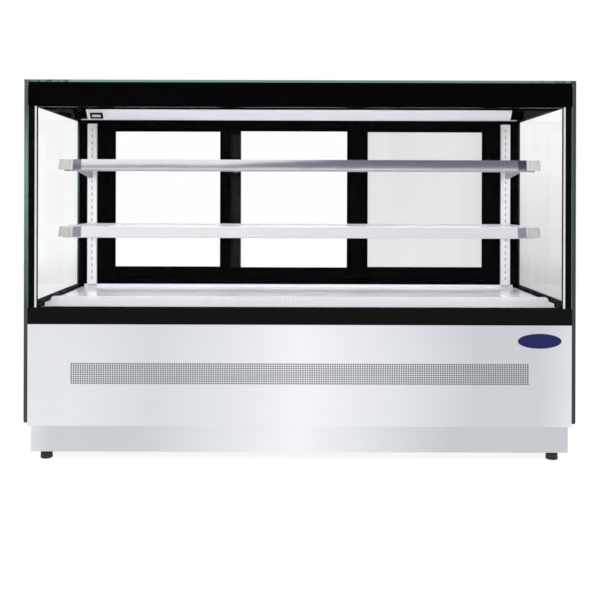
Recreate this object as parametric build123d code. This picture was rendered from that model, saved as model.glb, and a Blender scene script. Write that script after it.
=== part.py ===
from build123d import *
import math
import os

# Refrigerated display case with a square glass front, on a machine base.
# Millimetres. The front faces -Y, +Z is up, and the origin is on the floor under the centre.

# Overall size
WIDTH = 1800.0
DEPTH = 680.0
HEIGHT = 1250.0
SEAM = 0.5  # gap left beside a cover or panel so that it can be fitted
FIT = 0.05  # radial clearance of a shaft in its bearing
REST_GAP = 0.3  # gap under a piece that is lifted or slides

# Heights above the floor
PLINTH_BOTTOM = 28.0
PANEL_BOTTOM = 120.0
SILL_BOTTOM = 452.0
GLASS_BOTTOM = 504.0
DECK_TOP = 511.0
HEADER_H = 76.0
CEILING_T = 30.0

# Glazing
TOP_GLASS_T = 8.0
SIDE_OUTER_T = 12.0
SIDE_INNER_T = 5.0
SIDE_GAP = 20.0
FRONT_OUTER_T = 6.0
FRONT_INNER_T = 5.0
FRONT_GAP = 12.0
FRONT_SPACER_W = 10.0
SIDE_GLASS_BOTTOM = 127.0
SIDE_GLASS_CORNER = 14.0
SIDE_TOP_BORDER = 42.0
SIDE_BOTTOM_BORDER = 22.0
SIDE_FRONT_BORDER = 6.0
SIDE_REAR_BORDER = 10.0

# Front skin
SHEET = 1.5
FRONT_RETURN = 20.0
GRILLE_END = 145.0  # from the end of the case to the grille
GRILLE_EDGE = 5.0  # plain edge outside the field of holes
GRILLE_BOTTOM = 251.0
GRILLE_HEIGHT = 88.0
GRILLE_PITCH = 15.0
GRILLE_HOLE = 9.5
GRILLE_ROWS = 5
SILL_DEPTH = 22.0
SILL_WALL = 3.0
HEADER_DEPTH = 60.0

# Base
PLINTH_RECESS = 30.0
PLINTH_END_W = 15.0
PLINTH_REAR_RECESS = 30.0
TUBE = 40.0
TUBE_WALL = 3.0
TUBE_BOTTOM = 60.0
PAN_T = 2.0
FOOT_INSET_X = 59.0
FOOT_INSET_Y = 60.0
FOOT_R = 20.0
FOOT_NECK_R = 13.0
FOOT_H = 26.0
FOOT_SHOULDER = 7.0
FOOT_STUD_R = 6.0
FOOT_STUD_TOP = 92.0
FOOT_NUT = 26.0
FOOT_NUT_H = 12.0
CASING_T = 3.0
CASING_FLANGE = 20.0

# Rear frame and sliding doors
REAR_LIP = 8.0  # how far the panes stand out behind the rear frame
FRAME_DEPTH = 72.0
JAMB_PLATE = 8.0
JAMB_COVER = 56.0  # how far the jamb plate hides the door behind it
POST_W = 79.0
DOOR_OVERLAP = 42.5
DOOR_T = 24.0
DOOR_BOTTOM = 538.0
DOOR_HEAD = 40.0  # from the ceiling down to the door
DOOR_PLAY = 2.0
PANE_EDGE = 8.0  # hidden in the door frame's groove
DOOR_STILE = 43.0
DOOR_LOW_RAIL = 48.0
DOOR_TOP_RAIL = 39.0
DOOR_GAP = 6.0  # between the two tracks
DOOR_SHIFT = 38.0  # how far the middle door stands to the left of the centre
DOOR_PANE_T = 4.0
DOOR_PANE_GAP = 8.0
TONGUE_T = 10.0
TRACK_DEPTH = 10.0
TRACK_SIDE_GAP = 0.3
PULL_W = 18.0
PULL_H = 120.0
PULL_DEPTH = 8.0
PULL_HEIGHT = 840.0

# Rear header and thermometer
STRIP_T = 2.0
STRIP_END_GAP = 25.0
STRIP_LEAN = 33.0
FLANGE = 6.0
STRIP_DROP = 5.0  # from the ceiling to the top of the lean
STRIP_H = 34.0
GAUGE_END = 63.0
GAUGE_RIM_X = 6.0
GAUGE_RIM_Z = 4.5
GAUGE_W = 50.0
GAUGE_H = 26.0
GAUGE_T = 5.0

# Pilasters, brackets and shelves
PILASTER_END = 45.0
PILASTER_W = 36.0
PILASTER_D = 14.0
PILASTER_WALL = 2.0
PILASTER_LIFT = 12.0  # above the deck
PILASTER_DROP = 55.0  # below the ceiling
PILASTER_PLAIN = 10.0  # plain length at each end of the slots
SLOT_PITCH = 25.4
SLOT_W = 4.0
SLOT_H = 12.0
SHELF_FRONT = 193.0  # from the front face to the shelf's front edge
SHELF_END_GAP = 25.0
SHELF_REAR_GAP = 8.0
SHELF_GLASS_T = 8.0
UPPER_SHELF_UP = 488.0  # above the deck
LOWER_SHELF_UP = 253.0  # above the deck
TRIM_H = 36.0
TRIM_T = 2.0
TRIM_LEAN = 7.0
TRIM_END_FLARE = 5.0
TRIM_LIP = 26.0
TRIM_FOOT = 8.0
BRACKET_T = 4.0
BRACKET_REAR_H = 50.0
BRACKET_FRONT_H = 12.0
BRACKET_TOE = 30.0
BRACKET_SHORT = 40.0  # how far the bracket stops behind the shelf's front edge
LAMP_W = 16.0
LAMP_H = 9.0
LAMP_SIDE_GAP = 20.0
LAMP_SETBACK = 2.0
DIFFUSER_H = 5.0
DIFFUSER_EDGE = 1.0
DIFFUSER_SLOPE = 2.0

# Display floor
TUB_BOTTOM = 330.0
TUB_FLOOR = 40.0
TUB_WALL = 30.0
DECK_END_GAP = 3.0
DECK_T = 2.0
RISER_SETBACK = 96.0  # from the front face to the riser
RISER_END_GAP = 23.0
RISER_H = 32.0
RISER_BOTTOM = 501.0
RISER_CORNER = 14.0
RISER_HOLE_R = 2.0
RISER_PITCH = 14.0
RISER_LOW_ROW = 7.5
RISER_HIGH_ROW = 25.0
LEDGE_TOP = 500.0
LEDGE_T = 2.0

# Machine bay
COMPRESSOR_END = 480.0  # from the right end of the case
COMPRESSOR_BACK = 140.0  # in front of the rear frame
COMPRESSOR_R = 78.0
COMPRESSOR_H = 176.0
COMPRESSOR_FOOT_H = 16.0
COMPRESSOR_BASE = 190.0
COMPRESSOR_PLATE_T = 4.0
COMPRESSOR_FOOT_R = 12.0
SEAM_BEAD = 3.0
SEAM_H = 8.0
TERMINAL_W = 56.0
TERMINAL_H = 60.0
TERMINAL_OUT = 22.0
TERMINAL_IN = 10.0
CONDENSER_END = 520.0  # from the right end of the case
CONDENSER_W = 330.0
CONDENSER_H = 205.0
CONDENSER_D = 55.0
CONDENSER_SETBACK = 60.0
FAN_R = 92.0
FAN_HUB_R = 24.0
FAN_FRAME = 204.0
FAN_FRAME_T = 30.0
FAN_OPENING_R = 97.0
FAN_BLADES = 5
FAN_ARM = 8.0
BLADE_T = 2.0
BLADE_PITCH = 28.0
MOTOR_R = 32.0
MOTOR_L = 46.0
SHAFT_R = 4.0
EVAPORATOR_END = 780.0  # from the left end of the case
EVAPORATOR_W = 620.0
EVAPORATOR_D = 110.0
EVAPORATOR_H = 100.0
EVAP_FAN_R = 46.0
EVAP_FAN_HUB_R = 15.0
EVAP_FAN_FRAME = 110.0
EVAP_FAN_T = 25.0
EVAP_FAN_OPENING_R = 49.0
EVAP_MOTOR_R = 16.0
EVAP_MOTOR_L = 20.0
EVAP_SHAFT_R = 2.5
COIL_FINS = 28
COIL_FIN_T = 1.0
COIL_END = 6.0
COIL_TUBE_R = 5.0
COIL_TUBE_END = 4.0
PIPE_R = 5.0
PIPE_HOLE_GAP = 2.0
PIPE_BEND = 18.0
PIPE_OUT = 60.0
LIQUID_OUT = 30.0
DISCHARGE_DROP = 70.0
SUCTION_DROP = 60.0
HUB_FACE = 8.0
EVAP_HUB_FACE = 5.0
ROTOR_INSET = 1.5
TRAY_END = 580.0  # from the left end of the case
TRAY_W = 380.0
TRAY_D = 240.0
TRAY_H = 40.0
TRAY_WALL = 2.0

# Rear service panel and controls
LOUVRE_COUNT = 9
LOUVRE_PITCH = 20.0
LOUVRE_H = 7.0
LOUVRE_W = 300.0
LOUVRE_END = 480.0
LOUVRE_BOTTOM = 160.0
CONTROL_END = 190.0
CONTROL_Z = 290.0
CONTROL_W = 78.0
CONTROL_H = 36.0
BEZEL_T = 5.0
BEZEL_LIP = 3.5
BODY_GAP = 0.2  # round a body in its cut-out
CONTROL_DEPTH = 55.0
SWITCH_FIRST = 70.0
SWITCH_PITCH = 40.0
SWITCH_W = 28.0
SWITCH_H = 34.0
SWITCH_DEPTH = 22.0
ROCKER_W = 13.0
ROCKER_H = 20.0
ROCKER_OUT = 6.0
ROCKER_DISH = 1.5
ROCKER_BACK = 4.0
ROCKER_TILT = 8.0
ROCKER_GAP = 0.5
ROCKER_SWING_GAP = 1.2
ROCKER_WELL = 9.0
ROCKER_PIN_R = 1.5
ROCKER_PIN_L = 2.0
GLAND_END = 120.0
GLAND_Z = 175.0
GLAND_R = 12.0
GLAND_SHANK_R = 8.5
GLAND_BORE_R = 5.0
GLAND_OUT = 7.5
GLAND_IN = 16.0
SCREW_R = 4.5
SCREW_HEAD_H = 2.5
SCREW_SHANK_R = 2.0
SCREW_INSET = 14.0
SCREW_COLUMNS = 5

# Planes that follow from the sizes above
FRONT = -DEPTH / 2
REAR = DEPTH / 2
HALF = WIDTH / 2
TOP = HEIGHT - TOP_GLASS_T
HEADER_BOTTOM = TOP - HEADER_H
CEILING_BOTTOM = TOP - CEILING_T
SIDE_FACE = HALF - SIDE_OUTER_T  # inner face of the outer side pane
RING_FACE = SIDE_FACE - SIDE_GAP  # outer face of the inner side pane
CAVITY = RING_FACE - SIDE_INNER_T  # inner face of the inner side pane
SKIN_HALF = SIDE_FACE - SEAM
FRONT_GAP_Y = FRONT + FRONT_OUTER_T
FRONT_PANE_Y = FRONT_GAP_Y + FRONT_GAP
FRONT_IN = FRONT_PANE_Y + FRONT_INNER_T
FRAME_REAR = REAR - REAR_LIP
FRAME_FRONT = FRAME_REAR - FRAME_DEPTH
GRILLE_HALF = HALF - GRILLE_END
GRILLE_COLUMNS = int(2 * (GRILLE_HALF - GRILLE_EDGE) / GRILLE_PITCH)
TUBE_TOP = TUBE_BOTTOM + TUBE
PAN_TOP = TUBE_TOP + PAN_T
FOOT_X = HALF - FOOT_INSET_X
FOOT_Y = DEPTH / 2 - FOOT_INSET_Y
DOOR_LIMIT = CAVITY - POST_W  # outer edge of a shut end door
DOOR_W = (2 * DOOR_LIMIT + 2 * DOOR_OVERLAP) / 3
DOOR_TOP = CEILING_BOTTOM - DOOR_HEAD
DOOR_INNER_Y = FRAME_FRONT + JAMB_PLATE + 2 * TRACK_SIDE_GAP
DOOR_OUTER_Y = DOOR_INNER_Y + DOOR_T + DOOR_GAP
OPENING_HALF = DOOR_LIMIT - JAMB_COVER
SILL_TOP = DOOR_BOTTOM - DOOR_PLAY
TRACK_FLOOR = SILL_TOP - TRACK_DEPTH
TOP_RAIL_BOTTOM = DOOR_TOP + DOOR_PLAY
TRACK_ROOF = TOP_RAIL_BOTTOM + 2 * TRACK_DEPTH
STRIP_TOP = CEILING_BOTTOM - STRIP_DROP
STRIP_BOTTOM = STRIP_TOP - STRIP_H
STRIP_HALF = CAVITY - STRIP_END_GAP
GAUGE_X = GAUGE_END - CAVITY
PILASTER_X = CAVITY - PILASTER_END
PILASTER_BOTTOM = DECK_TOP + PILASTER_LIFT
PILASTER_TOP = CEILING_BOTTOM - PILASTER_DROP
PILASTER_FACE = FRAME_FRONT - PILASTER_D
SLOT_COUNT = int((PILASTER_TOP - PILASTER_BOTTOM - 2 * PILASTER_PLAIN) / SLOT_PITCH)
SHELF_HALF = CAVITY - SHELF_END_GAP
SHELF_EDGE = FRONT + SHELF_FRONT
SHELF_REAR = PILASTER_FACE - SHELF_REAR_GAP
UPPER_SHELF_TOP = DECK_TOP + UPPER_SHELF_UP
LOWER_SHELF_TOP = DECK_TOP + LOWER_SHELF_UP
RISER_Y = FRONT + RISER_SETBACK
RISER_HALF = CAVITY - RISER_END_GAP
TUB_TOP = LEDGE_TOP - LEDGE_T
TUB_INSIDE = TUB_BOTTOM + TUB_FLOOR
TUB_HALF = SIDE_FACE - CASING_T
DECK_HALF = CAVITY - DECK_END_GAP
COMPRESSOR_X = HALF - COMPRESSOR_END
COMPRESSOR_Y = FRAME_FRONT - COMPRESSOR_BACK
CONDENSER_X = HALF - CONDENSER_END
EVAPORATOR_X = EVAPORATOR_END - HALF
EVAPORATOR_Y = COMPRESSOR_Y
EVAPORATOR_ROW = EVAPORATOR_Y - EVAPORATOR_D / 3
SUCTION_X = COMPRESSOR_X - COMPRESSOR_R - PIPE_OUT
LIQUID_X = CONDENSER_X + CONDENSER_W / 2 + LIQUID_OUT
TRAY_X = TRAY_END - HALF
LOUVRE_X = (LOUVRE_END - HALF, HALF - LOUVRE_END)
CONTROL_X = HALF - CONTROL_END
SWITCH_X = (CONTROL_X - SWITCH_FIRST, CONTROL_X - SWITCH_FIRST - SWITCH_PITCH)
GLAND_X = HALF - GLAND_END


def slab(x, y, z):
    """A block between two planes on each axis."""
    spans = (x, y, z)
    centre = [(low + high) / 2 for low, high in spans]
    size = [high - low for low, high in spans]
    return Pos(*centre) * Box(*size)


def pair(x, y, z):
    """The block and its mirror image on the left."""
    return [slab((-x[1], -x[0]), y, z), slab(x, y, z)]


def around(middle, size):
    """The two planes of a size about its middle."""
    return (middle - size / 2, middle + size / 2)


def along_x(points, x):
    """A (Y, Z) outline drawn out from one X to another."""
    outline = Wire.make_polygon([Vector(x[0], py, pz) for py, pz in points], close=True)
    return Solid.extrude(Face(outline), Vector(x[1] - x[0], 0, 0))


def rod_x(radius, x, y, z):
    """A round bar along X."""
    return Pos((x[0] + x[1]) / 2, y, z) * Rot(0, 90, 0) * Cylinder(radius, x[1] - x[0])


def rod_y(radius, x, y, z):
    """A round bar along Y."""
    return Pos(x, (y[0] + y[1]) / 2, z) * Rot(90, 0, 0) * Cylinder(radius, y[1] - y[0])


def rod_z(radius, x, y, z):
    """A round bar along Z."""
    return Pos(x, y, (z[0] + z[1]) / 2) * Cylinder(radius, z[1] - z[0])


def holed_sheet(x, z, front, thick, holes):
    """A sheet square to Y, with each hole given as a closed wire on its front plane."""
    corners = [(x[0], z[0]), (x[1], z[0]), (x[1], z[1]), (x[0], z[1])]
    outline = Wire.make_polygon([Vector(px, front, pz) for px, pz in corners], close=True)
    return Solid.extrude(Face(outline, holes), Vector(0, thick, 0))


def square_wire(x, z, size, front):
    """A square outline on a plane square to Y."""
    corners = [(-1, -1), (1, -1), (1, 1), (-1, 1)]
    half = size / 2
    return Wire.make_polygon([Vector(x + i * half, front, z + j * half) for i, j in corners], close=True)


def round_wire(x, z, radius, front):
    """A round outline on a plane square to Y."""
    return Wire([Edge.make_circle(radius, Plane((x, front, z), z_dir=(0, -1, 0)))])


def ring(x, y, z, inner_y, inner_z):
    """A rectangular frame square to X."""
    return slab(x, y, z) - slab((x[0] - 1, x[1] + 1), inner_y, inner_z)


def solids_of(piece):
    """The solids in a piece or a list of pieces."""
    if isinstance(piece, (list, tuple)):
        return [solid for part in piece for solid in solids_of(part)]
    return list(piece.solids())


def save(name, *pieces):
    """Writes one node, with each of its pieces as a solid of its own."""
    found = solids_of(pieces)
    export_step(found[0] if len(found) == 1 else Compound(found), f"parts/{name}.step")


# Base


def base_frame():
    """The welded tube chassis with its floor pan and the nuts of the levelling feet."""
    z = (TUBE_BOTTOM, TUBE_TOP)
    core = (TUBE_BOTTOM + TUBE_WALL, TUBE_TOP - TUBE_WALL)
    reach = FOOT_X + TUBE / 2
    tubes = []
    for side in (-1, 1):
        y = around(side * FOOT_Y, TUBE)
        hollow = (y[0] + TUBE_WALL, y[1] - TUBE_WALL)
        rail = slab((-reach, reach), y, z) - slab((-reach - 1, reach + 1), hollow, core)
        for x in (-FOOT_X, FOOT_X):
            nut_z = (TUBE_BOTTOM, TUBE_BOTTOM + TUBE_WALL + FOOT_NUT_H)
            rail += slab(around(x, FOOT_NUT), around(side * FOOT_Y, FOOT_NUT), nut_z)
            rail -= rod_z(FOOT_STUD_R + FIT, x, side * FOOT_Y, (TUBE_BOTTOM - 1, nut_z[1] + 1))
        tubes.append(rail)
    span = (-FOOT_Y + TUBE / 2, FOOT_Y - TUBE / 2)
    for x in (-FOOT_X, -FOOT_X / 3, FOOT_X / 3, FOOT_X):
        wide = around(x, TUBE)
        hollow = (wide[0] + TUBE_WALL, wide[1] - TUBE_WALL)
        tubes.append(slab(wide, span, z) - slab(hollow, (span[0] - 1, span[1] + 1), core))
    pan_y = (FRONT + PLINTH_RECESS + SHEET, REAR - PLINTH_REAR_RECESS - SHEET)
    pan_half = HALF - PLINTH_END_W - PLINTH_END_W
    tubes.append(slab((-pan_half, pan_half), pan_y, (TUBE_TOP, PAN_TOP)))
    return tubes


def plinth_front():
    """The recessed stainless kick plate."""
    half = HALF - 2 * PLINTH_END_W
    y = FRONT + PLINTH_RECESS
    face = slab((-half, half), (y, y + SHEET), (PLINTH_BOTTOM, PANEL_BOTTOM))
    lip = slab((-half, half), (y + SHEET, y + FRONT_RETURN), (PLINTH_BOTTOM, PLINTH_BOTTOM + SHEET))
    return face + lip


def plinth_returns():
    """The end plates of the plinth, folded at the front, and its rear plate."""
    front = FRONT + PLINTH_RECESS
    rear = REAR - PLINTH_REAR_RECESS
    outer = HALF - PLINTH_END_W
    inner = outer - PLINTH_END_W
    z = (PLINTH_BOTTOM, PANEL_BOTTOM)
    pieces = []
    for side in (-1, 1):
        skin = sorted((side * (outer - SHEET), side * outer))
        fold = sorted((side * inner, side * outer))
        plate = slab(skin, (front, rear), z)
        plate += slab(fold, (front, front + SHEET), z)
        pieces.append(plate)
    pieces.append(slab((-outer + SHEET, outer - SHEET), (rear - SHEET, rear), z))
    return pieces


def foot(x, y):
    """A levelling foot: a turned black pad on a threaded stud."""
    base_r = FOOT_R - 2.0
    outline = [
        (0, 0),
        (base_r, 0),
        (FOOT_R, 2.0),
        (FOOT_R - 1.0, FOOT_H - FOOT_SHOULDER),
        (FOOT_NECK_R, FOOT_H),
        (0, FOOT_H),
    ]
    wire = Wire.make_polygon([Vector(px, 0, pz) for px, pz in outline], close=True)
    pad = Solid.revolve(Face(wire), 360, Axis.Z)
    stud = rod_z(FOOT_STUD_R, 0, 0, (FOOT_H, FOOT_STUD_TOP))
    return Pos(x, y, 0) * (pad + stud)


# Lower front


def front_panel():
    """The stainless front, folded back at its four edges, with the window of the grille."""
    x = (-SKIN_HALF, SKIN_HALF)
    z = (PANEL_BOTTOM, SILL_BOTTOM - SEAM)
    window = [
        (-GRILLE_HALF, GRILLE_BOTTOM),
        (GRILLE_HALF, GRILLE_BOTTOM),
        (GRILLE_HALF, GRILLE_BOTTOM + GRILLE_HEIGHT),
        (-GRILLE_HALF, GRILLE_BOTTOM + GRILLE_HEIGHT),
    ]
    hole = Wire.make_polygon([Vector(px, FRONT, pz) for px, pz in window], close=True)
    face = holed_sheet(x, z, FRONT, SHEET, [hole])
    back = (FRONT + SHEET, FRONT + FRONT_RETURN)
    face += slab(x, back, (z[0], z[0] + SHEET))
    face += slab(x, back, (z[1] - SHEET, z[1]))
    for edge in pair((SKIN_HALF - SHEET, SKIN_HALF), back, z):
        face += edge
    return face


def grille_panel():
    """The perforated air grille, flush in the front's window."""
    z = (GRILLE_BOTTOM, GRILLE_BOTTOM + GRILLE_HEIGHT)
    middle = (z[0] + z[1]) / 2
    holes = []
    for column in range(GRILLE_COLUMNS):
        x = (column - (GRILLE_COLUMNS - 1) / 2) * GRILLE_PITCH
        for row in range(GRILLE_ROWS):
            height = middle + (row - (GRILLE_ROWS - 1) / 2) * GRILLE_PITCH
            holes.append(square_wire(x, height, GRILLE_HOLE, FRONT))
    return holed_sheet((-GRILLE_HALF, GRILLE_HALF), z, FRONT, SHEET, holes)


def front_sill():
    """The black rail under the front glass."""
    y = (FRONT, FRONT + SILL_DEPTH)
    z = (SILL_BOTTOM, GLASS_BOTTOM)
    core_y = (y[0] + SILL_WALL, y[1] - SILL_WALL)
    core_z = (z[0] + SILL_WALL, z[1] - SILL_WALL)
    return slab((-SKIN_HALF, SKIN_HALF), y, z) - slab((-SKIN_HALF - 1, SKIN_HALF + 1), core_y, core_z)


def side_casings():
    """The sheet sides of the base, behind the outer side panes."""
    y = (FRONT + SILL_DEPTH + SEAM, FRAME_REAR - SHEET - SEAM)
    walls = pair((SIDE_FACE - CASING_T, SIDE_FACE), y, (PANEL_BOTTOM, TUB_TOP))
    flanges = pair((SIDE_FACE - CASING_FLANGE, SIDE_FACE), y, (PANEL_BOTTOM, PANEL_BOTTOM + CASING_T))
    return [wall + flange for wall, flange in zip(walls, flanges)]


# Glazing


def side_glass_outer(side):
    """The thick outer pane of one side, with its lower corners rounded."""
    x = sorted((side * SIDE_FACE, side * HALF))
    pane = slab(x, (FRONT, REAR), (SIDE_GLASS_BOTTOM, TOP))
    low = pane.edges().filter_by(Axis.X).sort_by(Axis.Z)[:2]
    return fillet(low, SIDE_GLASS_CORNER)


def side_glass_inner():
    """The inner panes of the two sides."""
    y = (FRONT_IN + SEAM, FRAME_REAR - SEAM)
    return pair((CAVITY, RING_FACE), y, (TUB_TOP, CEILING_BOTTOM))


def side_glass_spacers():
    """The black frames that hold each side's two panes apart."""
    y = (FRONT_GAP_Y, FRAME_REAR)
    z = (TUB_TOP, CEILING_BOTTOM)
    inner_y = (FRONT_IN + SIDE_FRONT_BORDER, FRAME_REAR - SIDE_REAR_BORDER)
    inner_z = (z[0] + SIDE_BOTTOM_BORDER, z[1] - SIDE_TOP_BORDER)
    notch = slab((-HALF, HALF), (FRONT, FRONT + SILL_DEPTH), (SILL_BOTTOM, GLASS_BOTTOM))
    spans = ((-SIDE_FACE, -RING_FACE), (RING_FACE, SIDE_FACE))
    return [ring(x, y, z, inner_y, inner_z) - notch for x in spans]


def front_glass_outer():
    """The outer front pane, which covers the corners."""
    return slab((-SKIN_HALF, SKIN_HALF), (FRONT, FRONT_GAP_Y), (GLASS_BOTTOM, HEADER_BOTTOM))


def front_glass_inner():
    """The inner front pane."""
    half = RING_FACE - SEAM
    return slab((-half, half), (FRONT_PANE_Y, FRONT_IN), (GLASS_BOTTOM, HEADER_BOTTOM))


def front_glass_spacer():
    """The aluminium spacer round the edge of the front panes."""
    half = RING_FACE - SEAM
    x = (-half, half)
    y = (FRONT_GAP_Y, FRONT_PANE_Y)
    z = (GLASS_BOTTOM, HEADER_BOTTOM)
    hollow_x = (-half + FRONT_SPACER_W, half - FRONT_SPACER_W)
    hollow_z = (z[0] + FRONT_SPACER_W, z[1] - FRONT_SPACER_W)
    return slab(x, y, z) - slab(hollow_x, (y[0] - 1, y[1] + 1), hollow_z)


def front_header():
    """The black channel over the front glass, open towards the rear."""
    x = (-SKIN_HALF, SKIN_HALF)
    y = (FRONT, FRONT + HEADER_DEPTH)
    z = (HEADER_BOTTOM, TOP)
    core = slab((x[0] - 1, x[1] + 1), (y[0] + SILL_WALL, y[1] + 1), (z[0] + SILL_WALL, z[1] - SILL_WALL))
    notch = pair((CAVITY - SEAM, HALF), (FRONT_GAP_Y, y[1] + 1), (z[0] - 1, CEILING_BOTTOM))
    return slab(x, y, z) - core - notch[0] - notch[1]


def ceiling_panel():
    """The black insulated ceiling."""
    y = (FRONT + HEADER_DEPTH, FRAME_REAR)
    return slab((-SIDE_FACE, SIDE_FACE), y, (CEILING_BOTTOM, TOP))


def top_glass():
    """The glass top over the whole case."""
    return slab((-HALF, HALF), (FRONT, REAR), (TOP, HEIGHT))


def lamp_bar(half, y, roof):
    """A lamp bar that hangs from a roof: a back and a bevelled diffuser."""
    low = roof - LAMP_H
    near = y[0] + DIFFUSER_EDGE
    far = y[1] - DIFFUSER_EDGE
    foot = low - DIFFUSER_H
    outline = [(near, low), (near + DIFFUSER_SLOPE, foot), (far - DIFFUSER_SLOPE, foot), (far, low)]
    return [slab((-half, half), y, (low, roof)), along_x(outline, (-half, half))]


def ceiling_light():
    """The lamp bar behind the front header."""
    start = FRONT + HEADER_DEPTH
    return lamp_bar(SHELF_HALF, (start, start + LAMP_W), CEILING_BOTTOM)


# Display floor


def insulated_tub():
    """The foamed trough under the deck that holds the evaporator."""
    x = (-TUB_HALF, TUB_HALF)
    y = (FRONT_IN + SEAM, FRAME_REAR - SHEET - SEAM)
    outer = slab(x, y, (TUB_BOTTOM, TUB_TOP))
    inside = slab(
        (x[0] + TUB_WALL, x[1] - TUB_WALL),
        (y[0] + TUB_WALL, FRAME_FRONT),
        (TUB_INSIDE, TUB_TOP + 1),
    )
    deep = (TUB_BOTTOM - 1, TUB_INSIDE + 1)
    suction = rod_z(PIPE_R + PIPE_HOLE_GAP, SUCTION_X, EVAPORATOR_Y, deep)
    liquid = rod_z(PIPE_R + PIPE_HOLE_GAP, LIQUID_X, EVAPORATOR_ROW, deep)
    return outer - inside - suction - liquid


def deck_pan():
    """The polished pan on which the goods stand, folded down all round."""
    half = DECK_HALF
    y = (RISER_Y + SHEET, FRAME_FRONT - SEAM)
    outer = slab((-half, half), y, (TUB_TOP, DECK_TOP))
    inner = slab(
        (-half + DECK_T, half - DECK_T),
        (y[0] + DECK_T, y[1] - DECK_T),
        (TUB_TOP - 1, DECK_TOP - DECK_T),
    )
    return outer - inner


def front_riser():
    """The perforated plate that stands along the front of the deck."""
    z = (RISER_BOTTOM, RISER_BOTTOM + RISER_H)
    count = int(2 * (RISER_HALF - RISER_CORNER) / RISER_PITCH)
    holes = []
    for height in (RISER_LOW_ROW, RISER_HIGH_ROW):
        for step in range(count):
            x = (step - (count - 1) / 2) * RISER_PITCH
            holes.append(round_wire(x, z[0] + height, RISER_HOLE_R, RISER_Y))
    plate = holed_sheet((-RISER_HALF, RISER_HALF), z, RISER_Y, SHEET, holes)
    upper = plate.edges().filter_by(Axis.Y).group_by(Axis.Z)[-1]
    return fillet(upper, RISER_CORNER)


def front_ledge():
    """The strip between the front glass and the riser, over the return air duct."""
    y = (FRONT_IN + SEAM, RISER_Y + SHEET)
    return slab((-DECK_HALF, DECK_HALF), y, (TUB_TOP, LEDGE_TOP))


# Rear frame


def rear_sill():
    """The black sill with the two door tracks."""
    y = (FRAME_FRONT, FRAME_REAR)
    sill = slab((-CAVITY, CAVITY), y, (TUB_TOP, SILL_TOP))
    for front in (DOOR_INNER_Y, DOOR_OUTER_Y):
        groove = around(front + DOOR_T / 2, TONGUE_T + 2 * TRACK_SIDE_GAP)
        sill -= slab((-CAVITY - 1, CAVITY + 1), groove, (TRACK_FLOOR, SILL_TOP + 1))
    return sill


def rear_top_rail():
    """The black rail with the upper door tracks."""
    y = (FRAME_FRONT, FRAME_REAR)
    rail = slab((-CAVITY, CAVITY), y, (TOP_RAIL_BOTTOM, CEILING_BOTTOM))
    for front in (DOOR_INNER_Y, DOOR_OUTER_Y):
        groove = around(front + DOOR_T / 2, TONGUE_T + 2 * TRACK_SIDE_GAP)
        rail -= slab((-CAVITY - 1, CAVITY + 1), groove, (DOOR_TOP, TRACK_ROOF))
    return rail


def rear_jambs():
    """The black posts at the ends of the door opening, each with a plate over the shut door's edge."""
    pieces = []
    z = (SILL_TOP, TOP_RAIL_BOTTOM)
    for side in (-1, 1):
        plate = sorted((side * OPENING_HALF, side * CAVITY))
        post = sorted((side * (DOOR_LIMIT + REST_GAP), side * CAVITY))
        jamb = slab(plate, (FRAME_FRONT, FRAME_FRONT + JAMB_PLATE), z)
        jamb += slab(post, (FRAME_FRONT + JAMB_PLATE, FRAME_REAR), z)
        pieces.append(jamb)
    return pieces


def door_frame(centre, front):
    """A black door frame with its glides and the finger pulls in its two stiles."""
    x = around(centre, DOOR_W)
    y = (front, front + DOOR_T)
    z = (DOOR_BOTTOM, DOOR_TOP)
    glass_x = (x[0] + DOOR_STILE, x[1] - DOOR_STILE)
    glass_z = (z[0] + DOOR_LOW_RAIL, z[1] - DOOR_TOP_RAIL)
    frame = slab(x, y, z) - slab(glass_x, (y[0] - 1, y[1] + 1), glass_z)
    pane = around((y[0] + y[1]) / 2, 2 * DOOR_PANE_T + DOOR_PANE_GAP)
    wide_x = (glass_x[0] - PANE_EDGE, glass_x[1] + PANE_EDGE)
    wide_z = (glass_z[0] - PANE_EDGE, glass_z[1] + PANE_EDGE)
    frame -= slab(wide_x, pane, wide_z)
    tongue = around((y[0] + y[1]) / 2, TONGUE_T)
    frame += slab(x, tongue, (TRACK_FLOOR + REST_GAP, z[0]))
    frame += slab(x, tongue, (z[1], TRACK_ROOF - TRACK_DEPTH))
    for middle in (x[0] + DOOR_STILE / 2, x[1] - DOOR_STILE / 2):
        frame -= slab(around(middle, PULL_W), (y[1] - PULL_DEPTH, y[1] + 1), around(PULL_HEIGHT, PULL_H))
    return frame


def door_glass(centre, front):
    """The two panes of a door and the spacer between them."""
    x = around(centre, DOOR_W - 2 * DOOR_STILE + 2 * PANE_EDGE)
    z = (DOOR_BOTTOM + DOOR_LOW_RAIL - PANE_EDGE, DOOR_TOP - DOOR_TOP_RAIL + PANE_EDGE)
    start = front + DOOR_T / 2 - DOOR_PANE_T - DOOR_PANE_GAP / 2
    near = (start, start + DOOR_PANE_T)
    gap = (near[1], near[1] + DOOR_PANE_GAP)
    far = (gap[1], gap[1] + DOOR_PANE_T)
    hollow_x = (x[0] + PANE_EDGE, x[1] - PANE_EDGE)
    hollow_z = (z[0] + PANE_EDGE, z[1] - PANE_EDGE)
    spacer = slab(x, gap, z) - slab(hollow_x, (gap[0] - 1, gap[1] + 1), hollow_z)
    return [slab(x, near, z), slab(x, far, z), spacer]


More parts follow.
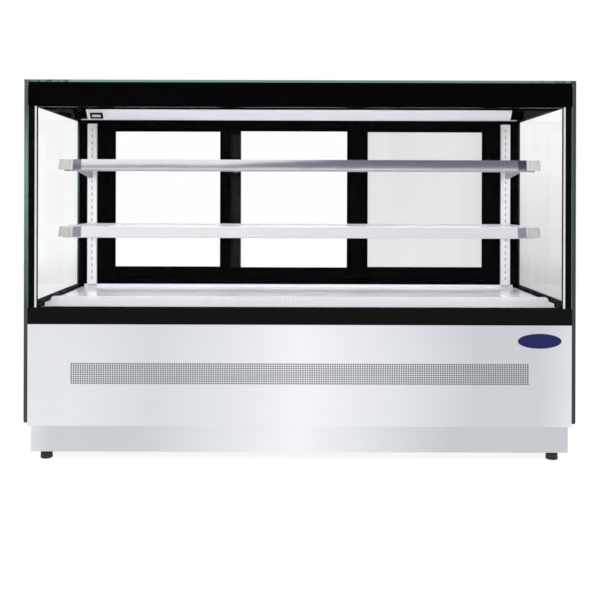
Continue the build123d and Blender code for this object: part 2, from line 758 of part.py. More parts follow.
def rear_header():
    """The leaning stainless strip under the ceiling, with a flange along its foot."""
    foot_y = FRAME_FRONT
    head_y = foot_y - STRIP_LEAN
    outline = [
        (foot_y, STRIP_BOTTOM),
        (head_y, STRIP_TOP),
        (head_y, CEILING_BOTTOM),
        (head_y + STRIP_T, CEILING_BOTTOM),
        (head_y + STRIP_T, STRIP_TOP + STRIP_T / 2),
        (foot_y, STRIP_BOTTOM + 1.6 * STRIP_T),
    ]
    strip = along_x(outline, (-STRIP_HALF, STRIP_HALF))
    flange_z = (STRIP_BOTTOM, STRIP_BOTTOM + 1.6 * STRIP_T)
    return strip + slab((-CAVITY, CAVITY), (foot_y - FLANGE, foot_y), flange_z)


def thermometer():
    """The small thermometer that hangs on the strip: a black case and its lens."""
    lean = math.atan2(STRIP_LEAN, STRIP_TOP - STRIP_BOTTOM)
    middle_y = FRAME_FRONT - STRIP_LEAN / 2
    middle_z = (STRIP_TOP + STRIP_BOTTOM) / 2
    place = Pos(GAUGE_X, middle_y, middle_z) * Rot(math.degrees(lean), 0, 0)
    body = Pos(0, -GAUGE_T / 2, 0) * Box(GAUGE_W, GAUGE_T, GAUGE_H)
    body -= Pos(0, -GAUGE_T, 0) * Box(GAUGE_W - 2 * GAUGE_RIM_X, 2.0, GAUGE_H - 2 * GAUGE_RIM_Z)
    lens = Pos(0, -GAUGE_T + 0.5, 0) * Box(GAUGE_W - 2 * GAUGE_RIM_X, 1.0, GAUGE_H - 2 * GAUGE_RIM_Z)
    return [place * body, place * lens]


# Shelves


def pilasters():
    """The slotted standards that carry the shelf brackets."""
    pieces = []
    for x in (-PILASTER_X, PILASTER_X):
        wide = around(x, PILASTER_W)
        z = (PILASTER_BOTTOM, PILASTER_TOP)
        body = slab(wide, (PILASTER_FACE, FRAME_FRONT), z)
        inner = (wide[0] + PILASTER_WALL, wide[1] - PILASTER_WALL)
        body -= slab(inner, (PILASTER_FACE + PILASTER_WALL, FRAME_FRONT + 1), (z[0] - 1, z[1] + 1))
        middle = (z[0] + z[1]) / 2
        cuts = []
        for step in range(SLOT_COUNT):
            height = middle + (step - (SLOT_COUNT - 1) / 2) * SLOT_PITCH
            depth = (PILASTER_FACE - 1, PILASTER_FACE + PILASTER_WALL + 1)
            cuts.append(slab(around(x, SLOT_W), depth, around(height, SLOT_H)))
        pieces.append(body - cuts)
    return pieces


def shelf_brackets():
    """The four cantilever arms, hooked on the pilasters."""
    arms = []
    for top in (UPPER_SHELF_TOP, LOWER_SHELF_TOP):
        under = top - SHELF_GLASS_T - REST_GAP
        tip = SHELF_EDGE + BRACKET_SHORT
        outline = [
            (PILASTER_FACE, under),
            (tip, under),
            (tip, under - BRACKET_FRONT_H),
            (PILASTER_FACE - BRACKET_TOE, under - BRACKET_REAR_H),
            (PILASTER_FACE, under - BRACKET_REAR_H),
        ]
        for x in (-PILASTER_X, PILASTER_X):
            arms.append(along_x(outline, around(x, BRACKET_T)))
    return arms


def shelf_glass(top):
    """A shelf's glass plate."""
    half = SHELF_HALF - TRIM_T
    y = (SHELF_EDGE + TRIM_LEAN + TRIM_T, SHELF_REAR)
    return slab((-half, half), y, (top - SHELF_GLASS_T, top))


def shelf_trim(top):
    """The polished profile along a shelf's front edge, leaning back, with a lip under the glass."""
    low = top - TRIM_H
    under = top - SHELF_GLASS_T
    back = SHELF_EDGE + TRIM_LEAN
    face = along_x(
        [
            (SHELF_EDGE, low),
            (back, top),
            (back + TRIM_T, top),
            (back + TRIM_T, under),
            (back + TRIM_LIP, under),
            (back + TRIM_LIP, under - TRIM_T),
            (back, under - TRIM_T),
            (SHELF_EDGE + TRIM_T, low + TRIM_T),
            (SHELF_EDGE + TRIM_FOOT, low + TRIM_T),
            (SHELF_EDGE + TRIM_FOOT, low),
        ],
        (-SHELF_HALF, SHELF_HALF),
    )
    for side in (-1, 1):
        end = [
            (side * SHELF_HALF, top),
            (side * (SHELF_HALF + TRIM_END_FLARE), low),
            (side * (SHELF_HALF - TRIM_T), low),
            (side * (SHELF_HALF - TRIM_T), top),
        ]
        wire = Wire.make_polygon([Vector(px, back + TRIM_T, pz) for px, pz in end], close=True)
        face += Solid.extrude(Face(wire), Vector(0, -TRIM_LEAN, 0))
    return face


def shelf_light(top):
    """The lamp bar under a shelf's front edge."""
    start = SHELF_EDGE + TRIM_LEAN + TRIM_T + LAMP_SETBACK
    return lamp_bar(SHELF_HALF - LAMP_SIDE_GAP, (start, start + LAMP_W), top - SHELF_GLASS_T - TRIM_T)


# Machine


def compressor():
    """The hermetic compressor: a domed shell on a base plate with rubber feet."""
    floor = PAN_TOP
    plate_z = (floor + COMPRESSOR_FOOT_H, floor + COMPRESSOR_FOOT_H + COMPRESSOR_PLATE_T)
    plate = slab(around(COMPRESSOR_X, COMPRESSOR_BASE), around(COMPRESSOR_Y, COMPRESSOR_BASE), plate_z)
    shell_z = (plate_z[1], plate_z[1] + COMPRESSOR_H)
    shell = rod_z(COMPRESSOR_R, COMPRESSOR_X, COMPRESSOR_Y, shell_z)
    shell = fillet(shell.edges().filter_by(GeomType.CIRCLE), COMPRESSOR_R * 0.35)
    seam_z = around(shell_z[0] + COMPRESSOR_H * 0.45, SEAM_H)
    seam = rod_z(COMPRESSOR_R + SEAM_BEAD, COMPRESSOR_X, COMPRESSOR_Y, seam_z)
    feet = []
    reach = COMPRESSOR_BASE / 2 - COMPRESSOR_FOOT_R - COMPRESSOR_PLATE_T
    for i in (-1, 1):
        for j in (-1, 1):
            place = (COMPRESSOR_X + i * reach, COMPRESSOR_Y + j * reach)
            feet.append(rod_z(COMPRESSOR_FOOT_R, *place, (floor, plate_z[0])))
    terminal = slab(
        around(COMPRESSOR_X, TERMINAL_W),
        (COMPRESSOR_Y + COMPRESSOR_R - TERMINAL_IN, COMPRESSOR_Y + COMPRESSOR_R + TERMINAL_OUT),
        around(shell_z[0] + COMPRESSOR_H * 0.62, TERMINAL_H),
    )
    return [plate, shell + seam + terminal, feet]


def fin_coil(x, y, z, rows, levels):
    """A coil of thin upright fins on round tubes, with an end plate at each side."""
    fins = []
    for step in range(COIL_FINS):
        at = x[0] + COIL_END + (x[1] - x[0] - 2 * COIL_END) * step / (COIL_FINS - 1)
        thick = COIL_FIN_T if 0 < step < COIL_FINS - 1 else 2 * COIL_FIN_T
        fins.append(slab(around(at, thick), y, z))
    coil = None
    for row in range(rows):
        at_y = y[0] + (y[1] - y[0]) * (row + 0.5) / rows
        for level in range(levels):
            at_z = z[0] + (z[1] - z[0]) * (level + 0.5) / levels
            tube = rod_x(COIL_TUBE_R, (x[0] - COIL_TUBE_END, x[1] + COIL_TUBE_END), at_y, at_z)
            coil = tube if coil is None else coil + tube
    return coil + fins


def condenser_coil():
    """The condenser, close behind the grille."""
    front = FRONT + CONDENSER_SETBACK
    return fin_coil(
        around(CONDENSER_X, CONDENSER_W),
        (front, front + CONDENSER_D),
        (PAN_TOP, PAN_TOP + CONDENSER_H),
        2,
        6,
    )


def fan_frame(x, y, z, size, opening, motor_r, motor_l, shaft_r, shaft_tip):
    """A square fan plate with a round mouth, the motor behind it on four arms, and its shaft."""
    plate = slab(around(x, size), y, around(z, size)) - rod_y(opening, x, (y[0] - 1, y[1] + 1), z)
    motor = rod_y(motor_r, x, (y[1], y[1] + motor_l), z)
    for angle in (45, 135, 225, 315):
        bar = Pos((opening + motor_r) / 2, 0, 0) * Box(opening - motor_r + 2 * FAN_ARM, FAN_ARM / 2, FAN_ARM)
        motor += Pos(x, y[1] + FAN_ARM / 4, z) * Rot(0, angle, 0) * bar
    shaft = rod_y(shaft_r, x, (y[0] + shaft_tip, y[1]), z)
    return plate + motor + shaft


def fan_rotor(x, y, z, radius, hub_r, shaft_r, hub_face):
    """A moulded fan: a hub with a blind bore on the motor shaft and pitched blades."""
    hub = rod_y(hub_r, x, y, z)
    middle = (y[0] + y[1]) / 2
    for step in range(FAN_BLADES):
        blade = Pos((radius + hub_r) / 2, 0, 0) * Box(radius - hub_r + 2 * BLADE_T, BLADE_T, hub_r * 1.5)
        hub += Pos(x, middle, z) * Rot(0, 360 * step / FAN_BLADES, 0) * Rot(BLADE_PITCH, 0, 0) * blade
    hub &= rod_y(radius, x, y, z)
    return hub - rod_y(shaft_r + FIT, x, (y[0] + hub_face, y[1] + 1), z)


def condenser_fan():
    """The place of the condenser fan: X, the plate's Y span and Z."""
    front = FRONT + CONDENSER_SETBACK + CONDENSER_D
    return CONDENSER_X, (front, front + FAN_FRAME_T), PAN_TOP + CONDENSER_H / 2


def condenser_fan_frame():
    """The condenser fan's plate, motor and shaft."""
    x, y, z = condenser_fan()
    tip = ROTOR_INSET + HUB_FACE + REST_GAP
    return fan_frame(x, y, z, FAN_FRAME, FAN_OPENING_R, MOTOR_R, MOTOR_L, SHAFT_R, tip)


def condenser_fan_rotor():
    """The condenser fan's blades."""
    x, y, z = condenser_fan()
    depth = (y[0] + ROTOR_INSET, y[1] - ROTOR_INSET)
    return fan_rotor(x, depth, z, FAN_R, FAN_HUB_R, SHAFT_R, HUB_FACE)


def evaporator_coil():
    """The evaporator in the tub."""
    return fin_coil(
        around(EVAPORATOR_X, EVAPORATOR_W),
        around(EVAPORATOR_Y, EVAPORATOR_D),
        (TUB_INSIDE, TUB_INSIDE + EVAPORATOR_H),
        3,
        4,
    )


def evaporator_fan():
    """The place of the evaporator fan: X, the plate's Y span and Z."""
    front = EVAPORATOR_Y - EVAPORATOR_D / 2 - EVAP_FAN_T
    return EVAPORATOR_X, (front, front + EVAP_FAN_T), TUB_INSIDE + EVAP_FAN_FRAME / 2


def turned_about(x, piece):
    """A piece made about X = 0 and Y = 0, turned to face the front and moved to its X."""
    return Pos(x, 0, 0) * Rot(0, 0, 180) * piece


def evaporator_fan_frame():
    """The evaporator fan's plate, motor and shaft, in front of the coil."""
    x, y, z = evaporator_fan()
    tip = ROTOR_INSET + EVAP_HUB_FACE + REST_GAP
    sizes = (EVAP_FAN_FRAME, EVAP_FAN_OPENING_R, EVAP_MOTOR_R, EVAP_MOTOR_L, EVAP_SHAFT_R, tip)
    return turned_about(x, fan_frame(0, (-y[1], -y[0]), z, *sizes))


def evaporator_fan_rotor():
    """The evaporator fan's blades."""
    x, y, z = evaporator_fan()
    depth = (ROTOR_INSET - y[1], -ROTOR_INSET - y[0])
    sizes = (EVAP_FAN_R, EVAP_FAN_HUB_R, EVAP_SHAFT_R, EVAP_HUB_FACE)
    return turned_about(x, fan_rotor(0, depth, z, *sizes))


def pipe(points, bend):
    """A copper tube along straight runs joined by arcs."""
    path = FilletPolyline(*points, radius=bend)
    start = Plane(origin=path @ 0, z_dir=path % 0)
    return sweep(start * Circle(PIPE_R), path=path)


def refrigerant_pipes():
    """The discharge, suction and liquid lines between the compressor and the two coils."""
    shell_top = PAN_TOP + COMPRESSOR_FOOT_H + COMPRESSOR_PLATE_T + COMPRESSOR_H
    out_z = shell_top - DISCHARGE_DROP
    back_z = shell_top - SUCTION_DROP
    coil_x = CONDENSER_X + CONDENSER_W / 2
    end_x = coil_x + COIL_TUBE_END
    coil_y = FRONT + CONDENSER_SETBACK + CONDENSER_D * 3 / 4
    low = PAN_TOP + CONDENSER_H / 12
    high = PAN_TOP + CONDENSER_H * 11 / 12
    evap_x = EVAPORATOR_X + EVAPORATOR_W / 2 + COIL_TUBE_END
    evap_low = TUB_INSIDE + EVAPORATOR_H / 8
    evap_high = TUB_INSIDE + EVAPORATOR_H * 7 / 8
    discharge = [
        (COMPRESSOR_X + COMPRESSOR_R, COMPRESSOR_Y, out_z),
        (coil_x + PIPE_OUT, COMPRESSOR_Y, out_z),
        (coil_x + PIPE_OUT, coil_y, out_z),
        (coil_x + PIPE_OUT, coil_y, high),
        (end_x, coil_y, high),
    ]
    suction = [
        (COMPRESSOR_X - COMPRESSOR_R, COMPRESSOR_Y, back_z),
        (SUCTION_X, COMPRESSOR_Y, back_z),
        (SUCTION_X, COMPRESSOR_Y, evap_high),
        (evap_x, COMPRESSOR_Y, evap_high),
    ]
    liquid = [
        (end_x, coil_y, low),
        (LIQUID_X, coil_y, low),
        (LIQUID_X, EVAPORATOR_ROW, low),
        (LIQUID_X, EVAPORATOR_ROW, evap_low),
        (evap_x, EVAPORATOR_ROW, evap_low),
    ]
    return [pipe(points, PIPE_BEND) for points in (discharge, suction, liquid)]


def condensate_tray():
    """The open tray on the base pan in which the melt water dries off."""
    x = around(TRAY_X, TRAY_W)
    y = around(COMPRESSOR_Y, TRAY_D)
    z = (PAN_TOP, PAN_TOP + TRAY_H)
    inside = slab(
        (x[0] + TRAY_WALL, x[1] - TRAY_WALL),
        (y[0] + TRAY_WALL, y[1] - TRAY_WALL),
        (z[0] + TRAY_WALL, z[1] + 1),
    )
    return slab(x, y, z) - inside


# Rear service panel and controls


def cutout(x, z, width, height):
    """The hole in the rear panel for a body of one size, seen from behind."""
    return slab(around(x, width), (FRAME_REAR - SHEET - 1, FRAME_REAR + 1), around(z, height))


def screw_places():
    """The X and Z of the screws round the rear panel."""
    half = SIDE_FACE - CASING_T - SEAM - SCREW_INSET
    rows = (PANEL_BOTTOM + SCREW_INSET, TUB_TOP - SEAM - SCREW_INSET)
    step = 2 * half / (SCREW_COLUMNS - 1)
    return [(column * step - half, z) for z in rows for column in range(SCREW_COLUMNS)]


def rear_service_panel():
    """The removable steel panel at the rear, with louvres and the holes for the controls."""
    half = SIDE_FACE - CASING_T - SEAM
    panel = slab((-half, half), (FRAME_REAR - SHEET, FRAME_REAR), (PANEL_BOTTOM, TUB_TOP - SEAM))
    cuts = []
    for x in LOUVRE_X:
        for step in range(LOUVRE_COUNT):
            middle = LOUVRE_BOTTOM + step * LOUVRE_PITCH + LOUVRE_H / 2
            cuts.append(cutout(x, middle, LOUVRE_W, LOUVRE_H))
    cuts.append(cutout(CONTROL_X, CONTROL_Z, CONTROL_W - 2 * BEZEL_LIP, CONTROL_H - 2 * BEZEL_LIP))
    for x in SWITCH_X:
        cuts.append(cutout(x, CONTROL_Z, SWITCH_W - 2 * BEZEL_LIP, SWITCH_H - 2 * BEZEL_LIP))
    deep = (FRAME_REAR - SHEET - 1, FRAME_REAR + 1)
    cuts.append(rod_y(GLAND_SHANK_R + BODY_GAP, GLAND_X, deep, GLAND_Z))
    for x, z in screw_places():
        cuts.append(rod_y(SCREW_SHANK_R + BODY_GAP, x, deep, z))
    return panel - cuts


def panel_screws():
    """The pan head screws of the rear panel."""
    screws = []
    for x, z in screw_places():
        head = rod_y(SCREW_R, x, (FRAME_REAR, FRAME_REAR + SCREW_HEAD_H), z)
        head = chamfer(head.edges().filter_by(GeomType.CIRCLE).sort_by(Axis.Y)[-1], SCREW_HEAD_H * 0.4)
        screws.append(head + rod_y(SCREW_SHANK_R, x, (FRAME_REAR - SHEET, FRAME_REAR), z))
    return screws


def bezelled_body(x, width, height, depth):
    """A moulded body that fills a cut-out, with a bezel over its edge."""
    trim = 2 * (BEZEL_LIP + BODY_GAP)
    bezel = slab(around(x, width), (FRAME_REAR, FRAME_REAR + BEZEL_T), around(CONTROL_Z, height))
    body_y = (FRAME_REAR - depth, FRAME_REAR)
    return bezel + slab(around(x, width - trim), body_y, around(CONTROL_Z, height - trim))


def rear_controls():
    """The temperature controller and the housings of the two rocker switches."""
    controller = bezelled_body(CONTROL_X, CONTROL_W, CONTROL_H, CONTROL_DEPTH)
    display = (CONTROL_W * 0.45, CONTROL_H * 0.5)
    face = (FRAME_REAR + BEZEL_T - 1.0, FRAME_REAR + BEZEL_T + 1)
    controller -= slab(around(CONTROL_X + CONTROL_W * 0.18, display[0]), face, around(CONTROL_Z, display[1]))
    housings = []
    for x in SWITCH_X:
        housing = bezelled_body(x, SWITCH_W, SWITCH_H, SWITCH_DEPTH)
        well_y = (FRAME_REAR - ROCKER_WELL, FRAME_REAR + BEZEL_T + 1)
        wide = ROCKER_W + 2 * ROCKER_GAP
        housing -= slab(around(x, wide), well_y, around(CONTROL_Z, ROCKER_H + 2 * ROCKER_SWING_GAP))
        pins = around(x, ROCKER_W + 2 * ROCKER_PIN_L + 2 * ROCKER_GAP)
        housing -= rod_x(ROCKER_PIN_R + FIT, pins, FRAME_REAR, CONTROL_Z)
        housings.append(housing)
    return [controller, housings]


def rocker(x):
    """A rocker on its two pins, tipped to one side."""
    half = ROCKER_H / 2
    outline = [
        (-ROCKER_BACK, -half * 0.8),
        (ROCKER_OUT, -half),
        (ROCKER_OUT - ROCKER_DISH, 0),
        (ROCKER_OUT, half),
        (-ROCKER_BACK, half * 0.8),
    ]
    body = along_x(outline, around(0, ROCKER_W))
    body += rod_x(ROCKER_PIN_R, around(0, ROCKER_W + 2 * ROCKER_PIN_L), 0, 0)
    return Pos(x, FRAME_REAR, CONTROL_Z) * Rot(-ROCKER_TILT, 0, 0) * body


def cable_gland():
    """The flanged bushing where the mains lead goes in."""
    bushing = rod_y(GLAND_R, GLAND_X, (FRAME_REAR, FRAME_REAR + GLAND_OUT), GLAND_Z)
    bushing = chamfer(bushing.edges().filter_by(GeomType.CIRCLE).sort_by(Axis.Y)[-1], 2.0)
    bushing += rod_y(GLAND_SHANK_R, GLAND_X, (FRAME_REAR - GLAND_IN, FRAME_REAR), GLAND_Z)
    return bushing - rod_y(GLAND_BORE_R, GLAND_X, (FRAME_REAR - GLAND_IN - 1, REAR + 1), GLAND_Z)


def save_all():
    """Builds and writes every node."""
    save("base_frame", base_frame())
    save("plinth_front", plinth_front())
    save("plinth_returns", plinth_returns())
    for row, y in (("front", -FOOT_Y), ("rear", FOOT_Y)):
        for side, x in (("left", -FOOT_X), ("right", FOOT_X)):
            save(f"foot_{row}_{side}", foot(x, y))
    save("front_panel", front_panel())
    save("grille_panel", grille_panel())
    save("front_sill", front_sill())
    save("side_casings", side_casings())
    save("side_glass_outer_left", side_glass_outer(-1))
    save("side_glass_outer_right", side_glass_outer(1))
    save("side_glass_inner", side_glass_inner())
    save("side_glass_spacers", side_glass_spacers())
    save("front_glass_outer", front_glass_outer())
    save("front_glass_inner", front_glass_inner())
    save("front_glass_spacer", front_glass_spacer())
    save("front_header", front_header())
    save("ceiling_panel", ceiling_panel())
    save("top_glass", top_glass())
    save("ceiling_light", ceiling_light())
    save("insulated_tub", insulated_tub())
    save("deck_pan", deck_pan())
    save("front_riser", front_riser())
    save("front_ledge", front_ledge())
    save("rear_sill", rear_sill())
    save("rear_top_rail", rear_top_rail())
    save("rear_jambs", rear_jambs())
    end_centre = DOOR_LIMIT - DOOR_W / 2
    places = {
        "left": (-end_centre, DOOR_OUTER_Y),
        "middle": (-DOOR_SHIFT, DOOR_INNER_Y),
        "right": (end_centre, DOOR_OUTER_Y),
    }
    for name, (centre, front) in places.items():
        save(f"door_frame_{name}", door_frame(centre, front))
        save(f"door_glass_{name}", door_glass(centre, front))
    save("rear_header", rear_header())
    save("thermometer", thermometer())
    save("pilasters", pilasters())
    save("shelf_brackets", shelf_brackets())
    for name, top in (("upper", UPPER_SHELF_TOP), ("lower", LOWER_SHELF_TOP)):
        save(f"{name}_shelf_glass", shelf_glass(top))
        save(f"{name}_shelf_trim", shelf_trim(top))
        save(f"{name}_shelf_light", shelf_light(top))
    save("compressor", compressor())
    save("condenser_coil", condenser_coil())
    save("condenser_fan_frame", condenser_fan_frame())
    save("condenser_fan_rotor", condenser_fan_rotor())
    save("evaporator_coil", evaporator_coil())
    save("evaporator_fan_frame", evaporator_fan_frame())
    save("evaporator_fan_rotor", evaporator_fan_rotor())
    save("refrigerant_pipes", refrigerant_pipes())
    save("condensate_tray", condensate_tray())
    save("rear_service_panel", rear_service_panel())
    save("panel_screws", panel_screws())
    save("rear_controls", rear_controls())
    for name, x in zip(("power", "light"), SWITCH_X):
        save(f"{name}_switch", rocker(x))
    save("cable_gland", cable_gland())


os.makedirs("parts", exist_ok=True)
save_all()
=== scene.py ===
import math

import bmesh
import bpy
from mathutils import Matrix, Vector


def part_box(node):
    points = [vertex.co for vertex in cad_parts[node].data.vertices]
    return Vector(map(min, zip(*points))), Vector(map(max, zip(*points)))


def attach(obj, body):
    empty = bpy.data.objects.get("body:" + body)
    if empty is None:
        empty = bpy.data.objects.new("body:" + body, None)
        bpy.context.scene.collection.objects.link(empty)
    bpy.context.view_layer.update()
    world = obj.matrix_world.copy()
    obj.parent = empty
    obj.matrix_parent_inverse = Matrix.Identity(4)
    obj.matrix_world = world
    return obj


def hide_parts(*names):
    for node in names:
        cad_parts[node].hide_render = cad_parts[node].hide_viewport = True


# Dresses the refrigerated display case: finishes for every node, and the pieces that are too fine for the
# solids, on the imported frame. Metres. The front faces -Y and +Z is up.

bl_info = {
    "name": "Refrigerated display case",
    "version": (1, 0, 0),
    "blender": (4, 5, 0),
    "location": "3D View > Sidebar > Display case",
    "description": "Finishes and fine pieces for a square glass refrigerated display case",
    "category": "Object",
}

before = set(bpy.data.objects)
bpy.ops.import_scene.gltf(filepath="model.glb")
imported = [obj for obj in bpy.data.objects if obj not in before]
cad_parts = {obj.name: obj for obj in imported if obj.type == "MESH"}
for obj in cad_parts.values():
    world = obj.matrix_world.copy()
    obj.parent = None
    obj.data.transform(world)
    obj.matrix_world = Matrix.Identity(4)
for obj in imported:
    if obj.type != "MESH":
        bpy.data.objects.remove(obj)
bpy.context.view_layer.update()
MM = 0.001
HALF_TURN = math.pi
QUARTER_TURN = HALF_TURN / 2
SIDES = (-1, 1)
CASE_HALF = 0.9


# Colours and shader nodes


def srgb(red, green, blue):
    """A colour read on a 0 to 255 scale, as the linear values that Blender works in."""

    def linear(value):
        value /= 255
        return value / 12.92 if value <= 0.04045 else ((value + 0.055) / 1.055) ** 2.4

    return (linear(red), linear(green), linear(blue))


def scaled(colour, share):
    """A colour made darker or brighter."""
    return tuple(share * part for part in colour)


# Darker grey steel: the colour of wiping marks, and of painted reflection on the shelf fronts.
WIPE_AND_REFLECTION_GREY = srgb(120, 121, 128)


class Value:
    """One output of a shader node. Arithmetic on it adds Math nodes to its material."""

    def __init__(self, finish, socket):
        self.finish = finish
        self.socket = socket

    def math(self, operation, *values):
        """Adds one Math node."""
        return self.finish.node("ShaderNodeMath", {"operation": operation}, dict(enumerate(values)))

    def __add__(self, other):
        return self.math("ADD", self, other)

    def __radd__(self, other):
        return self.math("ADD", other, self)

    def __sub__(self, other):
        return self.math("SUBTRACT", self, other)

    def __rsub__(self, other):
        return self.math("SUBTRACT", other, self)

    def __mul__(self, other):
        return self.math("MULTIPLY", self, other)

    def __rmul__(self, other):
        return self.math("MULTIPLY", other, self)

    def __pow__(self, other):
        return self.math("POWER", self, other)

    def __gt__(self, other):
        return self.math("GREATER_THAN", self, other)

    def __lt__(self, other):
        return self.math("LESS_THAN", self, other)

    def __abs__(self):
        return self.math("ABSOLUTE", self)


class Finish:
    """A material, or the room, and the nodes that it is made of."""

    def __init__(self, name, store="materials"):
        self.owner = getattr(bpy.data, store).new(name)
        self.owner.use_nodes = True
        self.tree = self.owner.node_tree
        self.tree.nodes.clear()

    def add(self, kind, settings, sockets):
        """Adds a node with its settings, then the values or links of its sockets."""
        node = self.tree.nodes.new(kind)
        for key, value in (settings or {}).items():
            if key == "stops":
                ramp = node.color_ramp
                while len(ramp.elements) < len(value):
                    ramp.elements.new(1.0)
                for element, (position, colour) in zip(ramp.elements, value):
                    element.position = position
                    element.color = (*colour, 1)
            else:
                setattr(node, key, value)
        for key, value in (sockets or {}).items():
            socket = node.inputs[key]
            if isinstance(value, Value):
                self.tree.links.new(value.socket, socket)
            elif socket.type == "RGBA" and len(value) == 3:
                socket.default_value = (*value, 1)
            else:
                socket.default_value = value
        return node

    def node(self, kind, settings=None, sockets=None, output=0):
        """Adds a node and gives one of its outputs."""
        return Value(self, self.add(kind, settings, sockets).outputs[output])

    def place(self):
        """The place on the piece, in metres."""
        return self.node("ShaderNodeTexCoord", output="Object")

    def axes(self, vector):
        """The three numbers of a vector."""
        first = self.node("ShaderNodeSeparateXYZ", None, {0: vector})
        outputs = first.socket.node.outputs
        return [Value(self, outputs[index]) for index in range(3)]

    def stretched(self, vector, scale):
        """A vector multiplied axis by axis."""
        return self.node("ShaderNodeVectorMath", {"operation": "MULTIPLY"}, {0: vector, 1: scale})

    def noise(self, vector, scale, detail=2.0):
        """Soft noise from 0 to 1."""
        return self.node("ShaderNodeTexNoise", None, {"Vector": vector, "Scale": scale, "Detail": detail})

    def fade(self, value, low, high):
        """Rises smoothly from 0 at low to 1 at high."""
        return self.node(
            "ShaderNodeMapRange",
            {"interpolation_type": "SMOOTHSTEP"},
            {"Value": value, "From Min": low, "From Max": high},
        )

    def blend(self, factor, first, second):
        """One colour mixed into another."""
        return self.node("ShaderNodeMix", {"data_type": "RGBA"}, {0: factor, 6: first, 7: second}, 2)

    def ramp(self, factor, stops):
        """A colour that depends on a number from 0 to 1."""
        return self.node("ShaderNodeValToRGB", {"stops": stops}, {0: factor})

    def bump(self, height, strength, distance):
        """A normal that follows a height."""
        return self.node("ShaderNodeBump", None, {"Height": height, "Strength": strength, "Distance": distance})

    def principled(self, **sockets):
        """The plain surface shader."""
        names = {key.replace("_", " "): value for key, value in sockets.items()}
        return self.node("ShaderNodeBsdfPrincipled", None, names)

    def mixed(self, factor, first, second):
        """Two shaders mixed."""
        return self.node("ShaderNodeMixShader", None, {0: factor, 1: first, 2: second})

    def done(self, shader):
        """Puts the shader on the surface and returns the material."""
        self.add("ShaderNodeOutputMaterial", None, {"Surface": shader})
        return self.owner

    def surface(self, **sockets):
        """Puts the plain surface shader on the surface and returns the material."""
        return self.done(self.principled(**sockets))


def flat_face(finish, axis):
    """1 where the surface faces along an axis of the piece, 0 on its edges."""
    normal = finish.node("ShaderNodeTexCoord", output="Normal")
    return abs(finish.axes(normal)[axis]) > 0.5


# Finishes


def satin_steel(name, tones, roughness):
    """Brushed stainless sheet with soft broad bands of painted reflection along its length."""
    steel = Finish(name)
    place = steel.place()
    x, _, _ = steel.axes(place)
    along = steel.node("ShaderNodeMapRange", None, {"Value": x, "From Min": -CASE_HALF, "From Max": CASE_HALF})
    wander = steel.noise(steel.stretched(place, (1.2, 1.0, 2.6)), 2.0) - 0.5
    # Painted reflection: the broad bands make the sheet lighter and darker along X.
    band = steel.ramp(along + 0.05 * wander, tones)
    grain = steel.noise(steel.stretched(place, (5.0, 700.0, 700.0)), 1.0, 3.0)
    colour = steel.blend(0.10 * grain, band, srgb(60, 62, 66))
    return steel.surface(
        Base_Color=colour,
        Metallic=1.0,
        Roughness=roughness + 0.10 * (grain - 0.5),
        Normal=steel.bump(grain, 0.05, 0.0002),
    )


def swell_and_wipe(steel):
    """The faint waves of a rolled sheet and its fine wiping marks."""
    place = steel.place()
    swell = steel.noise(steel.stretched(place, (1.0, 3.0, 3.0)), 3.0)
    wipe = steel.noise(steel.stretched(place, (6.0, 60.0, 60.0)), 2.0, 3.0)
    return swell, wipe


def polished_steel(name, colour, roughness, waves, mirror):
    """Polished steel sheet with faint waves and wiping marks. A low mirror value looks satin and pale."""
    steel = Finish(name)
    swell, wipe = swell_and_wipe(steel)
    tone = steel.blend(0.12 * wipe, colour, WIPE_AND_REFLECTION_GREY)
    return steel.surface(
        Base_Color=tone,
        Metallic=mirror,
        Roughness=roughness + 0.06 * (wipe - 0.5),
        Normal=steel.bump(swell, waves, 0.004),
    )


def satin_black(name, colour, roughness, sheen=0.03):
    """Black coating with a fine orange peel and dust that dulls it here and there."""
    black = Finish(name)
    place = black.place()
    peel = black.noise(place, 900.0)
    dust = black.noise(place, 9.0, 4.0)
    return black.surface(
        Base_Color=black.blend(0.5 * dust, colour, scaled(colour, 1.8)),
        Roughness=roughness + 0.12 * (dust - 0.5),
        Specular_IOR_Level=sheen,
        Normal=black.bump(peel, 0.08, 0.0001),
    )


def painted_sheet(name, colour, worn, roughness):
    """Coated steel with a fine peel and paler rubbed places."""
    paint = Finish(name)
    place = paint.place()
    peel = paint.noise(place, 700.0)
    rub = paint.fade(paint.noise(place, 14.0, 5.0), 0.52, 0.75)
    return paint.surface(
        Base_Color=paint.blend(0.5 * rub, colour, worn),
        Roughness=roughness + 0.10 * (rub - 0.5),
        Normal=paint.bump(peel, 0.10, 0.0001),
    )


def moulded(name, colour, roughness, grain):
    """Moulded plastic with a sparked texture."""
    plastic = Finish(name)
    place = plastic.place()
    spark = plastic.noise(place, 1500.0, 3.0)
    cloud = plastic.noise(place, 25.0)
    return plastic.surface(
        Base_Color=plastic.blend(0.35 * cloud, colour, tuple(1.6 * c + 0.002 for c in colour)),
        Roughness=roughness + 0.10 * (spark - 0.5),
        Normal=plastic.bump(spark, grain, 0.0001),
    )


